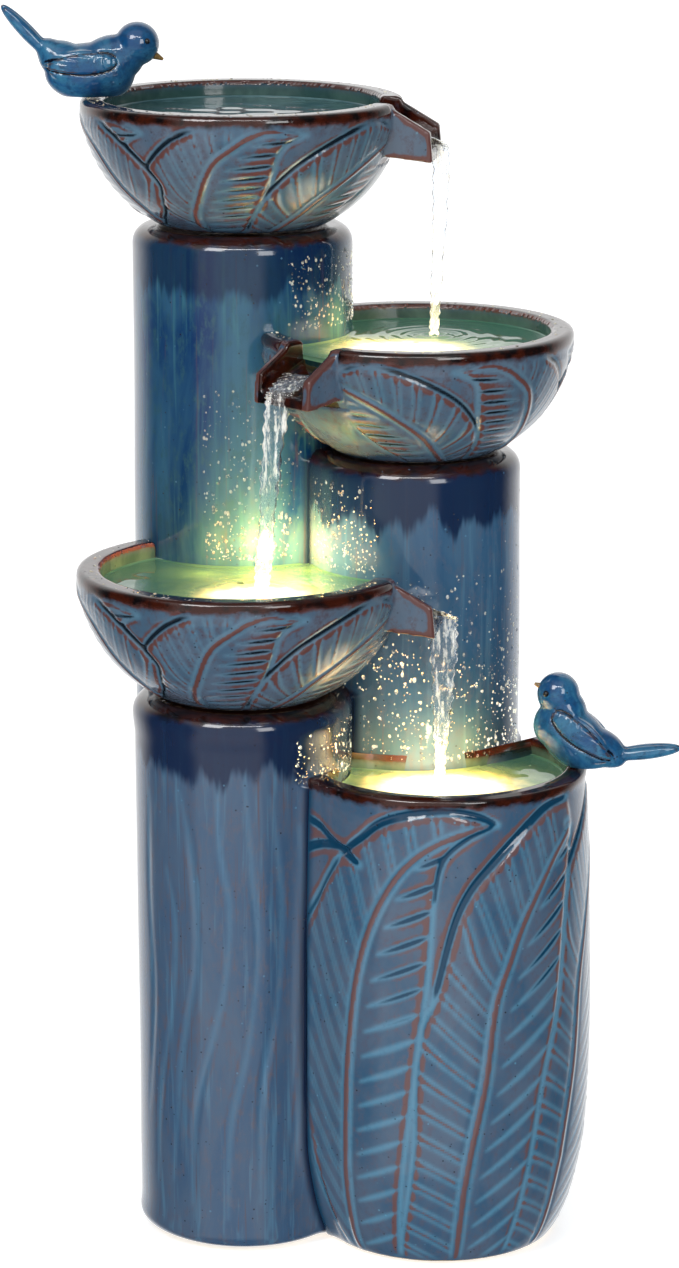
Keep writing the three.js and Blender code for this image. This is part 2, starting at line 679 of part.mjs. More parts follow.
add("supply_hose", supplyHose(), clearVinyl);
add("hose_clip_lower", hoseClip(NOZZLE_X, PUMP.y, PUMP_TOP + 5), springSteel);
add("hose_clip_upper", hoseClip(TALL.x, TALL.y, BARB_BOTTOM + 3), springSteel);
add("inlet_fitting", inletFitting(), brassThread);
add("inlet_washer", inletWasher(), rubber);
add("inlet_nut", inletNut(), brassThread);

const lights = {
  middle: floorLight(MIDDLE_LIGHT, MIDDLE, "middle"),
  lower: floorLight(LOWER_LIGHT, SHORT, "lower"),
  basin: wallLight,
};
const lightLooks = { cup: rubber, housing: lampShell, board: circuitBoard, lens: lampLens };
for (const [where, place] of Object.entries(lights)) {
  for (const [part, made] of Object.entries(lightPieces())) {
    add(`light_${where}_${part}`, place(made), lightLooks[part]);
  }
}
add("lead_middle", middleLead(), rubber);
add("lead_lower", lowerLead(), rubber);
add("lead_basin", basinLead(), rubber);
add("lead_splitter", cylinder(SPLITTER.radius, SPLITTER.height)
  .translate([SPLITTER.x, SPLITTER.y, SPLITTER.z]), pumpPlastic);
add("lead_grommet_middle", leadGrommet(MIDDLE_HOLE, MIDDLE, "middle"), rubber);
add("lead_grommet_lower", leadGrommet(LOWER_HOLE, SHORT, "lower"), rubber);

add("cord_gland", cordGland(), rubber);
[TALL, MIDDLE, SHORT, BASIN].forEach((under, i) => add(`foot_pad_${i + 1}`, footPad(under), rubber));

const bounds = new THREE.Box3().setFromObject(fountain);
const centre = bounds.getCenter(new THREE.Vector3());
fountain.position.set(-centre.x, -centre.y, -bounds.min.z);

export default fountain;
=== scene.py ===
"""A glazed stoneware table fountain with running water: columns, leaf bowls, a leaf basin and two birds."""

import json
import math

import bmesh
import bpy
import numpy as np
from mathutils import Matrix, Vector


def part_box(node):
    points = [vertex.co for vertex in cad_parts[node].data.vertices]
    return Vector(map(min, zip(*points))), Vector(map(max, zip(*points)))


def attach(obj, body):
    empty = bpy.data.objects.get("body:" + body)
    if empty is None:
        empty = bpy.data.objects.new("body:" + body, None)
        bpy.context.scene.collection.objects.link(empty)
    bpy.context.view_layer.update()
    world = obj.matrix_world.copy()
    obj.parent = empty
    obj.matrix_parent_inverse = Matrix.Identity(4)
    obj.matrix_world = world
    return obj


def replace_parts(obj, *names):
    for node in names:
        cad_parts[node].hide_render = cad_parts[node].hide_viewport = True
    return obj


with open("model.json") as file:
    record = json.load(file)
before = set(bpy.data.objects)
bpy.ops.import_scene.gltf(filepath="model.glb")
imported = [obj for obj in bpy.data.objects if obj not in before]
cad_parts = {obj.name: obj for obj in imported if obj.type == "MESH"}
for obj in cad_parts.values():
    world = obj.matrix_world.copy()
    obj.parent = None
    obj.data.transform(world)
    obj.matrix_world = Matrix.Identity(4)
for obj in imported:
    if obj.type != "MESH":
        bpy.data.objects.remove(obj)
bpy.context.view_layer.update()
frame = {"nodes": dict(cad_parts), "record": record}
MM = 0.001  # lengths below are in millimetres, and meshes are in metres

# ---- Where the castings stand ----


def axis_of(pad):
    """Centre of a foot pad, which lies on its casting's axis, in millimetres."""
    low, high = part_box(pad)
    return np.array([(low.x + high.x) / 2, (low.y + high.y) / 2]) / MM


def top_of(node):
    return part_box(node)[1].z / MM


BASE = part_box("column_tall")[0].z / MM  # underside of the castings
COLUMN_EDGE = 6
COLUMN_SHOULDER = 7
WALL = 7.5
FLOOR = 8
DECK_HOLE = 14


class Column:
    """One column: axis, radius at the foot and at the shoulder, and the height of its top."""

    def __init__(self, pad, node, foot, radius):
        self.centre, self.node, self.foot, self.radius = axis_of(pad), node, foot, radius
        self.top = top_of(node)
        self.wall = (self.centre, self.radius_at, self.top)

    def radius_at(self, z):
        low, high = BASE + COLUMN_EDGE, self.top - COLUMN_SHOULDER
        return np.interp(z, [low, high], [self.foot, self.radius])


TALL = Column("foot_pad_1", "column_tall", 43, 42.6)
MIDDLE = Column("foot_pad_2", "column_middle", 41.6, 40.4)
SHORT = Column("foot_pad_3", "column_short", 40.3, 41.6)
COLUMNS = (TALL, MIDDLE, SHORT)
BASIN_CENTRE = axis_of("foot_pad_4")
BASIN_TOP = top_of("basin")
BASIN_FOOT, BASIN_BELLY, BASIN_RIM_RADIUS, BASIN_RIM = 43.5, 57.4, 55.4, 8.6

BOWL_RADIUS, BOWL_HEIGHT, BOWL_FOOT, BOWL_RIM = 61.6, 47.6, 32, 9
SPOUT_WIDTH, SPOUT_REACH, SPOUT_LIP = 29, 74, 32
GAP = 0.3


class Bowl:
    """One bowl: its column, its size against the full section, and which way its spout points."""

    def __init__(self, node, on, scale, spout):
        self.node, self.on, self.scale = node, on, scale
        self.spout = math.radians(spout)
        self.foot = on.top + GAP


BOWL_TOP = Bowl("bowl_top", TALL, 1, -9)
BOWL_MIDDLE = Bowl("bowl_middle", MIDDLE, 0.972, 226)
BOWL_LOWER = Bowl("bowl_lower", SHORT, 1, -9)
BOWLS = [BOWL_TOP, BOWL_MIDDLE, BOWL_LOWER]


def taller_than(top):
    return [column for column in COLUMNS if column.top > top]


# ---- Numbers and curves ----


def step(low, high, x):
    """Smooth step from 0 at low to 1 at high."""
    t = np.clip((np.asarray(x, float) - low) / (high - low), 0, 1)
    return t * t * (3 - 2 * t)


def spline(points, count):
    """A smooth curve of count points through the given ones."""
    p = np.array(points, float)
    p = np.vstack([2 * p[0] - p[1], p, 2 * p[-1] - p[-2]])
    t = np.linspace(0, len(p) - 3 - 1e-6, count)
    i = t.astype(int)
    f = (t - i)[:, None]
    a, b, c, d = p[i], p[i + 1], p[i + 2], p[i + 3]
    return 0.5 * (2 * b + (c - a) * f + (2 * a - 5 * b + 4 * c - d) * f**2 + (3 * b - a - 3 * c + d) * f**3)


def bend(start, control, end, count=14):
    """Points on a quadratic curve."""
    t = np.linspace(0, 1, count)[:, None]
    a, b, c = (np.array(p, float) for p in (start, control, end))
    return (1 - t) ** 2 * a + 2 * t * (1 - t) * b + t**2 * c


def corner(centre, radius, start, end, count=8):
    """Points on an arc of a profile, with angles in degrees."""
    t = np.radians(np.linspace(start, end, count))
    return np.column_stack([centre[0] + radius * np.cos(t), centre[1] + radius * np.sin(t)])


def run_of(path):
    """How far along a path each of its points lies."""
    return np.r_[0, np.cumsum(np.hypot(*np.diff(path, axis=0).T))]


def spread(t, values):
    """Values given at even steps from 0 to 1, read at t."""
    return np.interp(t, np.linspace(0, 1, len(values)), values)


def around(centre, angle, radius, z):
    """Points about an upright axis, with angles from the front towards the right."""
    x = centre[0] + radius * np.sin(angle)
    y = centre[1] - radius * np.cos(angle)
    return np.column_stack([x, y, np.full(len(angle), z)])


def resampled(path, spacing):
    """The path's points at an even spacing."""
    p = np.vstack(path)
    s = run_of(p)
    keep = np.r_[True, np.diff(s) > 1e-9]
    p, s = p[keep], s[keep]
    even = np.linspace(0, s[-1], max(2, round(s[-1] / spacing) + 1))
    return np.column_stack([np.interp(even, s, p[:, 0]), np.interp(even, s, p[:, 1])])


def distance_to(points, line, scale):
    """Each point's distance to a polyline, its nearest place along it, and its side: 1 is left."""
    best = np.full(len(points), 1e9)
    where = np.zeros(len(points))
    side = np.ones(len(points))
    for i in range(len(line) - 1):
        ax = (points[:, 0] - line[i, 0]) * scale
        ay = points[:, 1] - line[i, 1]
        bx = (line[i + 1, 0] - line[i, 0]) * scale
        by = line[i + 1, 1] - line[i, 1]
        t = np.clip((ax * bx + ay * by) / (bx * bx + by * by + 1e-12), 0, 1)
        d = np.hypot(ax - t * bx, ay - t * by)
        near = d < best
        best[near] = d[near]
        where[near] = i + t[near]
        side[near] = np.sign(bx * ay - by * ax)[near]
    return best, where, side


def inside(points, outline):
    """Which points lie inside a closed outline."""
    x, y = points.T
    found = np.zeros(len(points), bool)
    for (x0, y0), (x1, y1) in zip(outline, np.roll(outline, -1, 0)):
        crosses = (y0 > y) != (y1 > y)
        found ^= crosses & (x < (x1 - x0) * (y - y0) / (y1 - y0 + 1e-12) + x0)
    return found


def lump(d, width):
    """A smooth bump of height 1 that ends at the given half width."""
    return np.clip(1 - (d / np.maximum(width, 1e-6)) ** 2, 0, 1) ** 2


# ---- Leaf relief ----

SUNK = 0.75  # how far the ground between leaves lies under the casting's outline
TABLE_RADIUS = 58  # a casting's usual radius, for a relief's spacing round it


class Relief:
    """A table over the angle round a casting and the length along its profile.

    It holds the height of the clay and the maps that the glaze follows: dark is the cuts that fill with dark
    glaze, groove the pale halos beside them, and ridge the thin edges.
    """

    def __init__(self, length, radius_at, spacing=0.5, start=-180, end=180):
        self.rows = max(2, round(length / spacing))
        self.columns = round(math.radians(end - start) * TABLE_RADIUS / spacing)
        self.length, self.start, self.span = length, start, end - start
        angle = start + (np.arange(self.columns) + 0.5) / self.columns * self.span
        along = np.linspace(0, length, self.rows)
        self.angle, self.along = np.meshgrid(angle, along)
        self.scale = np.radians(radius_at(self.along))
        self.height = np.zeros(self.angle.shape)
        self.dark = np.zeros(self.angle.shape)
        self.groove = np.zeros(self.angle.shape)

    def window(self, outline, margin):
        """Which cells lie near an outline, with their places and how many millimetres a degree is there."""
        low, high = outline.min(0) - margin, outline.max(0) + margin
        middle = (low[0] + high[0]) / 2
        turned = (self.angle - middle + 180) % 360 - 180 + middle
        near = (turned > low[0]) & (turned < high[0]) & (self.along > low[1]) & (self.along < high[1])
        return near, np.column_stack([turned[near], self.along[near]]), self.scale[near]

    def line(self, points, width, depth, dark=0.0, pale=0.8, count=60):
        """A groove along a curve, its width and depth given at its two ends or all along."""
        path = spline(points, count)
        near, at, scale = self.window(path, 8)
        d, where, _ = distance_to(at, path, scale)
        t = where / (count - 1)
        half = spread(t, width) / 2
        cut = lump(d, half * 1.35) * np.interp(t, [0, 0.04, 0.96, 1], [0.2, 1, 1, 0.2])
        self.height[near] -= cut * spread(t, depth)
        self.dark[near] = np.maximum(self.dark[near], cut * dark)
        self.groove[near] = np.maximum(self.groove[near], lump(d, half * 2.2) * pale)

    def leaf(self, middle, left, right, west_veins, east_veins, bold, raise_by=0.6, fine=1.0):
        """One leaf. Middle, left and right run from its base to its tip.

        Each half's veins are given as their direction at the base and at the tip, in degrees, and a pitch.
        Bold is how deep the cuts of the east half are from base to tip, and fine scales the ribs and cuts.
        """
        count = 70
        rib, west, east = spline(middle, count), spline(left, count), spline(right, count)
        outline = np.vstack([west, east[::-1]])
        near, at, scale = self.window(outline, 6)
        within = inside(at, outline)
        to_rib, where, side = distance_to(at, rib, scale)
        to_west, _, _ = distance_to(at, west, scale)
        to_east, _, _ = distance_to(at, east, scale)
        t = where / (count - 1)
        is_west = (side > 0) == (west[count // 2, 0] < east[count // 2, 0])
        edge = np.where(is_west, to_west, to_east)
        across = np.clip(to_rib / np.maximum(to_rib + edge, 0.5), 0, 1)
        flat = scale.mean()

        def from_nearest(half, bow):
            """Distance from each point to the nearest vein of one half."""
            base, tip, pitch = half
            if base == tip:
                heading = math.radians(base)
                level = at[:, 1] * math.cos(heading) - at[:, 0] * flat * math.sin(heading)
            else:
                stops = np.arange(count)
                flat_rib = rib * [flat, 1]
                heading = np.arctan2(np.gradient(rib[:, 1]), np.gradient(flat_rib[:, 0]))
                turned = np.radians(base + (tip - base) * step(0.1, 0.9, t))
                opening = np.abs(turned - np.interp(where, stops, heading))
                level = np.interp(where, stops, run_of(flat_rib))
                level -= to_rib / np.tan(np.clip(opening, 0.35, 1.6))
            phase = (level + bow * to_rib * across) / pitch
            return np.abs(phase - np.round(phase)) * pitch

        from_vein = np.where(is_west, from_nearest(west_veins, 0.12), from_nearest(east_veins, -0.05))
        depth = spread(t, bold)
        fade = step(1.4, 3.4, to_rib) * step(0.3, 1.8, edge)

        made = raise_by * step(0, 1.6, np.minimum(edge, 4))
        # The west half: long thin ribs with a shallow groove beside each.
        thin = lump(from_vein, 0.95 * fine) * fade
        beside = lump(np.abs(from_vein - 1.5 * fine), 1.0 * fine) * fade
        made += np.where(is_west, 0.4 * thin - 0.28 * beside * (0.5 + 0.5 * across), 0)
        # The east half: lens-shaped cuts, widest towards the edge.
        u = np.clip((across - 0.2) / 0.76, 0, 1)
        lens = np.sin(np.pi * u**1.35) ** 0.7
        lens_width = np.maximum(1.5 * fine * lens * (0.45 + 0.55 * depth), 0.02)
        cut = lump(from_vein, lens_width) * (lens > 0.03)
        made -= np.where(~is_west, cut * (0.2 + 0.95 * depth), 0)
        ring = lump(np.abs(from_vein - lens_width), 0.7 * fine) * fade * (lens > 0.03)
        # The rib, with a groove on each side.
        fat = fine * np.interp(t, [0, 0.7, 1], [1.4, 1.1, 0.5])
        made += 0.7 * lump(to_rib, fat + 0.4)
        made -= 0.4 * lump(to_rib - fat - 1.0, 1.1)

        dark = np.where(is_west, 0, cut * step(0.25, 0.6, depth))
        groove = np.where(is_west, beside, np.maximum(ring, cut)) * 0.75
        groove = np.maximum(groove, 0.8 * lump(to_rib - fat - 0.9, 1.0))
        for table, values in ((self.height, made), (self.dark, dark), (self.groove, groove)):
            table[near] = np.where(within, values, table[near])

    def blur(self, table, times):
        for _ in range(times):
            wrapped = (np.roll(table, 1, 1) + table + np.roll(table, -1, 1)) / 3
            padded = np.vstack([wrapped[:1], wrapped, wrapped[-1:]])
            table = (padded[:-2] + padded[1:-1] + padded[2:]) / 3
        return table

    def settle(self, fade):
        """Softens the clay, as thick glaze does, and works out the thin edges."""
        self.height = (self.height - SUNK) * fade
        self.dark *= fade
        self.groove *= fade
        self.height = self.blur(self.height, 4)
        self.ridge = np.clip((self.height - self.blur(self.height, 10)) / 0.11, 0, 1)
        self.ridge *= 1 - np.clip(self.groove * 1.2, 0, 1) * 0.5
        self.dark = self.blur(self.dark, 1)
        self.groove = self.blur(self.groove, 1)

    def read(self, table, angle, along):
        """The table's value at each angle in degrees and length along the profile."""
        past_start = (angle - self.start) % 360
        x = np.clip(past_start / self.span * self.columns - 0.5, 0, None)
        y = np.clip(along / self.length * (self.rows - 1), 0, self.rows - 1.001)
        i, j = np.floor(x).astype(int), np.floor(y).astype(int)
        fx, fy = x - i, y - j
        i0, i1 = i % self.columns, (i + 1) % self.columns
        low = table[j, i0] * (1 - fx) + table[j, i1] * fx
        high = table[j + 1, i0] * (1 - fx) + table[j + 1, i1] * fx
        return (low * (1 - fy) + high * fy) * (past_start <= self.span)


def shifted(points, by):
    return [(a + by, b) for a, b in points]


def mirrored(points, about):
    return [(2 * about - a, b) for a, b in points]


def basin_relief():
    """The basin's leaves, each with its outline cut in, and the stems that come in from the left."""
    relief = Relief(BASIN_TOP, lambda z: np.full_like(z, 56.5), 0.5, -110, 150)
    # Three leaves alike that lean to the right, the front one over the others.
    middle = [(6, -4), (9, 37), (16, 75), (20, 105), (26, 122), (33, 138), (46, 157), (57, 167)]
    left = [(-21, -4), (-12, 45), (-10, 91), (-3, 110), (6, 143), (20, 161), (41, 177), (57, 179)]
    right = [(30, -4), (38, 50), (42, 74), (50, 103), (55, 140), (59, 158), (60, 168)]
    for by in (90, 45):
        lines = [shifted(line, by) for line in (middle, left, right)]
        relief.leaf(*lines, (146, 100, 9.6), (32, 44, 8.2), (0.2, 0.35, 0.7, 1))
        relief.line(lines[1][1:], (1.6, 2.4, 3.2, 2.4), (0.5, 0.8, 1.3, 0.9), 0.9)
    relief.leaf(middle, left, right, (146, 100, 9.6), (32, 32, 8.2), (0.1, 0.25, 0.65, 1))
    lower_left = [(-20, 0), (-12, 45), (-10, 91), (-4, 108)]
    upper_left = [(-4, 108), (6, 143), (20, 161), (41, 177), (57, 180)]
    whole_right = [(31, 3), (38, 50), (42, 74), (50, 103), (55, 140), (60, 168)]
    relief.line(lower_left, (1.4, 1.6, 1.8, 2.2), (0.5, 0.5, 0.7, 0.8), 0.1)
    relief.line(upper_left, (2.2, 3.0, 3.8, 3.6, 2.2), (0.8, 1.3, 1.6, 1.2, 0.8), 1)
    relief.line(whole_right, (1.4, 1.6, 1.8, 2), (0.5, 0.6, 0.8, 0.8), 0.2)
    # The broad leaf at the left, whose tip curls over.
    tip = (20, 174.5)
    middle = [(-43, -4), (-40, 56), (-38, 87), (-34, 118), (-26, 142), (-14, 160), (1, 170), tip]
    low_left = [(-58, 24), (-64, 59), (-68, 94), (-66, 120), (-56, 142)]
    left = [(-50, -4), *low_left, (-40, 164), (-23, 176), (-2, 181), tip]
    low_right = [(-16, 38), (-12, 70), (-9, 94), (-6, 117)]
    right = [(-21, -4), *low_right, (-4, 140), (-1, 160), (8, 169), tip]
    relief.leaf(middle, left, right, (122, 93, 11.5), (20, 20, 9.0), (0.05, 0.2, 0.75, 0.95, 0.7))
    curl = [(-43, 161), (-34, 168), (-23, 176), (-2, 181), (12, 178.5), (21, 174.5)]
    relief.line([(-51, 0), *low_left, (-43, 161)], (1.4, 1.6, 2, 2.6, 2.8), (0.5, 0.7, 1, 1.1), 0.6)
    relief.line(curl, (2.8, 3.6, 4, 3.6, 2.2), (1.1, 1.4, 1.5, 1.1), 1)
    relief.line([tip, (8, 169.5), (-1, 161), (-4, 145)], (1.8, 2.6, 2.6, 1.6), (0.6, 1, 1, 0.6), 0.8)
    from_top = [(-4, 145), *reversed(low_right), (-20, 3)]
    relief.line(from_top, (1.6, 1.8, 1.6, 1.4), (0.6, 0.7, 0.6, 0.5), 0.25)
    # Stems.
    upper = [(-100, 170), (-75, 174), (-60, 170), (-43, 162), (-34, 158)]
    hook = [(-36, 160), (-46, 163), (-60, 160), (-70, 150), (-76, 132), (-77, 112)]
    relief.line(upper, (1.6, 3, 3.2, 2.6), (0.7, 1.2, 1.2, 1), 1)
    relief.line(hook, (2.4, 3.6, 4.2, 3.6, 1.2), (1, 1.3, 1.5, 1, 0.4), 1)
    relief.line([(-78, 170), (-80, 158), (-77, 146)], (1, 5, 1), (0.4, 1, 0.4), 0.8)
    relief.line([(-77, 112), (-79, 70), (-78, 30), (-70, 2)], (1.6, 2, 2, 1.6), (0.5, 0.7, 0.7, 0.5), 0.35)
    relief.settle(step(BASIN_TOP - 1.5, BASIN_TOP - 6, relief.along) * step(1, 6, relief.along))
    return relief


def bowl_outline():
    """A bowl's outside from its foot to the rim's top, in millimetres about its own axis."""
    radius, top = BOWL_RADIUS, BOWL_HEIGHT
    belly = bend((BOWL_FOOT, 0), (55, 11.6), (radius, top - 8.6), 40)
    rim = bend((radius, top - 3), (radius, top), (radius - 2.6, top))
    return resampled([belly, [(radius, top - 3)], rim], 0.3)


OUTLINE = bowl_outline()
OUTLINE_RUN = run_of(OUTLINE)
SPOUT_AT = 81  # where a bowl's spout stands in its relief, in degrees


def bowl_relief():
    """The leaves on a bowl, before it is turned. They mirror about the spout."""
    relief = Relief(OUTLINE_RUN[-1], lambda s: np.interp(s, OUTLINE_RUN, OUTLINE[:, 0]), 0.42)

    def up(*points):
        return [(a, float(np.interp(z, OUTLINE[:, 1], OUTLINE_RUN))) for a, z in points]

    # Each leaf's middle, left and right. The near one is half hidden behind the spout.
    near = [
        up((20, 0), (30, 8), (36, 14), (50, 24), (64, 32), (73, 37)),
        up((4, 0), (7, 10), (12, 18), (23, 29), (40, 38.5), (56, 43), (73, 37)),
        up((44, 0), (56, 7), (66, 17), (71, 27), (73, 37)),
    ]
    full = [
        up((-24, 0), (-22, 8), (-17, 16), (-10, 29), (-2, 36), (4, 40), (12, 42), (24, 40)),
        up((-18, 0), (-28, 4), (-36, 8), (-41, 15), (-42, 21), (-35, 29.5), (-25, 38), (-14, 43.5),
           (4, 46), (24, 40)),
        up((3, 0), (7, 8), (11, 17), (13, 25), (15.5, 35), (24, 40)),
    ]
    for side in (1, -1):
        for by in (-122, -61, 0):
            if by == 0:
                draw_leaf(relief, near, side)
            draw_leaf(relief, [shifted(line, by) for line in full], side)
    away = np.abs((relief.angle - SPOUT_AT + 180) % 360 - 180)
    top = OUTLINE_RUN[-1] - 5
    relief.settle(step(top, top - 4, relief.along) * step(12, 20, away) * step(0.5, 4, relief.along))
    return relief


def draw_leaf(relief, lines, side):
    """One of the bowls' leaves, turned over when side is -1."""
    west, east = (128, 80, 6.4), (4, 4, 4.8)
    if side < 0:
        lines = [mirrored(line, SPOUT_AT) for line in lines]
        west, east = (52, 100, 6.4), (176, 176, 4.8)
    relief.leaf(*lines, west, east, (0.4, 0.6, 0.8, 0.7), 0.7, 0.72)
    relief.line(lines[1], (1.4, 1.8, 2.2, 2.8, 2.4), (0.5, 0.8, 1, 1.2), 0.75)
    relief.line(lines[2], (1.2, 1.6, 1.8), (0.5, 0.7, 0.8), 0.3)


# ---- Meshes ----


def kept_in(node, points):
    """Points in millimetres, held inside a CAD node's box."""
    low, high = (np.array(end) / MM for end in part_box(node))
    return np.clip(points, low, high)


def mesh_of(name, points, faces, material):
    """A smooth-shaded object from points in millimetres."""
    mesh = bpy.data.meshes.new(name)
    faces = faces.tolist() if isinstance(faces, np.ndarray) else faces
    mesh.from_pydata((np.asarray(points) * MM).tolist(), [], faces)
    mesh.shade_smooth()
    mesh.materials.append(material)
    made = bpy.data.objects.new(name, mesh)
    bpy.context.scene.collection.objects.link(made)
    return made


def add_maps(made, **maps):
    """Numbers that the glaze reads: each map holds one for every point, or one for all."""
    for name, values in maps.items():
        attribute = made.data.attributes.new(name, "FLOAT", "POINT")
        attribute.data.foreach_set("value", np.full(len(made.data.vertices), values, np.float32))


def numbers(items, what, width, kind=np.float32):
    """What a mesh says of each of its points or edges, as rows."""
    values = np.empty(len(items) * width, kind)
    items.foreach_get(what, values)
    return values.reshape(-1, width)


def smoothed(values, edges, times):
    """Rows of values for each point, averaged again and again over its neighbours."""
    count = np.bincount(edges.ravel(), minlength=len(values))[:, None] + 1e-9
    for _ in range(times):
        total = [
            np.bincount(edges[:, 0], column[edges[:, 1]], len(values))
            + np.bincount(edges[:, 1], column[edges[:, 0]], len(values))
            for column in values.T
        ]
        values = np.column_stack(total) / count
    return values


def skin_of(work, voxel, rounds):
    """An even skin round a bmesh, softened a number of times, as points and faces."""
    mesh = bpy.data.meshes.new("skin")
    work.to_mesh(mesh)
    work.free()
    source = bpy.data.objects.new("skin", mesh)
    bpy.context.scene.collection.objects.link(source)
    even = source.modifiers.new("even", "REMESH")
    even.mode, even.voxel_size = "VOXEL", voxel
    soft = source.modifiers.new("soft", "SMOOTH")
    soft.factor, soft.iterations = 0.5, rounds
    ready = source.evaluated_get(bpy.context.evaluated_depsgraph_get())
    skin = bpy.data.meshes.new_from_object(ready)
    bpy.data.objects.remove(source)
    return numbers(skin.vertices, "co", 3).astype(float), [tuple(f.vertices) for f in skin.polygons]


def unpacked(work):
    """A bmesh's points and faces."""
    work.verts.index_update()
    points = np.array([v.co for v in work.verts])
    faces = [[v.index for v in face.verts] for face in work.faces]
    work.free()
    return points, faces


def torus_faces(rows, columns):
    """Quads of a grid that closes both ways."""
    i, j = np.meshgrid(np.arange(rows), np.arange(columns), indexing="ij")
    i1, j1 = (i + 1) % rows, (j + 1) % columns
    faces = [i * columns + j, i * columns + j1, i1 * columns + j1, i1 * columns + j]
    return np.stack(faces, -1).reshape(-1, 4)


def wavy(points, size, amount, seed):
    """Slow waves over a surface, one number for each point, so that a thrown form isn't exact."""
    waves = 7
    p = points / size
    total = np.zeros(len(p))
    draw = np.random.default_rng(seed)
    for _ in range(waves):
        direction = draw.normal(size=3)
        total += np.sin(p @ direction * 2.2 + draw.uniform(0, 6.28))
    return total / waves**0.5 * amount


def wall_limit(centre, angle, z, taller, offset):
    """How far from an axis a wall may reach before it meets the taller columns."""
    limit = np.full(angle.shape, 1e9)
    ux, uy = np.sin(angle), -np.cos(angle)
    for other in taller:
        dx, dy = other.centre - centre
        radius = np.where(z < other.top - 5, other.radius_at(z), 0)
        along = ux * dx + uy * dy
        inside_root = radius**2 - (dx * dx + dy * dy - along**2)
        hit = along - np.sqrt(np.clip(inside_root, 0, None))
        limit = np.where((inside_root > 0) & (along > 0), np.minimum(limit, hit + offset), limit)
    return limit


def fillet(points, neighbours, reach):
    """How far a wall swells where it meets its neighbours, and how near they are, from 0 to 1."""
    near = np.zeros(len(points))
    for centre, radius, top in neighbours:
        d = np.hypot(*(points[:, :2] - centre).T) - radius(points[:, 2])
        close = np.clip(1 - np.abs(d) / reach, 0, 1) * step(top + 1, top - 4, points[:, 2])
        near = np.maximum(near, close)
    return near**2 * reach / 4, near


def revolve(node, centre, profile, outer, taller, neighbours, angles, material, relief=None):
    """A casting turned about its own axis, with its walls stopped inside the taller columns."""
    rows, columns = len(profile), len(angles)
    angle = np.tile(angles, rows)
    r0, z = np.repeat(profile, columns, 0).T
    is_outer = np.repeat(outer, columns)
    r = np.minimum(r0, wall_limit(centre, angle, z, taller, np.where(is_outer, 3.6, 1.6)))
    points = around(centre, angle, r, z)
    swell, near = fillet(points, neighbours, 7)
    free = (r0 - r < 0.01) & is_outer
    lift = np.where(free, swell + wavy(points, 60, 0.2, 3) - 0.4, 0)
    maps = {"dark": 0, "groove": 0, "ridge": 0, "pool": near * free}
    if relief:
        degrees = np.degrees(angle)
        face = free & (z < profile[:, 1].max() - 0.01)
        calm = 1 - np.clip(near * 1.6, 0, 1)
        lift += np.where(face, relief.read(relief.height, degrees, z) * calm, 0)
        for key in ("dark", "groove", "ridge"):
            maps[key] = np.where(face, relief.read(getattr(relief, key), degrees, z), 0)
    grid = points.reshape(rows, columns, 3)
    along = np.roll(grid, -1, 0) - np.roll(grid, 1, 0)
    aside = np.roll(grid, -1, 1) - np.roll(grid, 1, 1)
    normal = np.cross(aside, along).reshape(-1, 3)
    normal /= np.linalg.norm(normal, axis=1)[:, None] + 1e-9
    points = kept_in(node, points + normal * lift[:, None])
    made = mesh_of("shell_" + node, points, torus_faces(rows, columns), material)
    add_maps(made, **maps)
    return made, points


# ---- Materials ----


def srgb(r, g, b):
    """A colour picked as 0 to 255 values, made linear."""
    return tuple(((c / 255 + 0.055) / 1.055) ** 2.4 if c > 10 else c / 3294.6 for c in (r, g, b)) + (1,)


class Nodes:
    """Short calls for the nodes of one tree."""

    def __init__(self, tree):
        self.tree = tree

    def plug(self, socket, value):
        if isinstance(value, bpy.types.NodeSocket):
            self.tree.links.new(value, socket)
        elif value is not None:
            socket.default_value = value

    def node(self, kind, settings=None, **inputs):
        made = self.tree.nodes.new("ShaderNode" + kind)
        for key, value in (settings or {}).items():
            setattr(made, key, value)
        for key, value in inputs.items():
            self.plug(made.inputs[int(key[1:]) if key[0] == "i" and key[1:].isdigit() else key], value)
        return made

    def math(self, what, a, b=0.0, clamp=False):
        return self.node("Math", {"operation": what, "use_clamp": clamp}, i0=a, i1=b).outputs[0]

    def plus(self, a, b):
        return self.math("ADD", a, b)

    def times(self, a, b, clamp=False):
        return self.math("MULTIPLY", a, b, clamp)

    def ragged(self, value, noise, amount):
        """A value pushed up and down by noise."""
        return self.plus(value, self.times(self.math("SUBTRACT", noise, 0.5), amount))

    def between(self, value, low, high):
        """0 at low, 1 at high, smooth."""
        settings = {"interpolation_type": "SMOOTHSTEP"}
        return self.node("MapRange", settings, Value=value, **{"From Min": low, "From Max": high}).outputs[0]

    def mix(self, factor, a, b):
        return self.node("Mix", {"data_type": "RGBA"}, i0=factor, i6=a, i7=b).outputs[2]


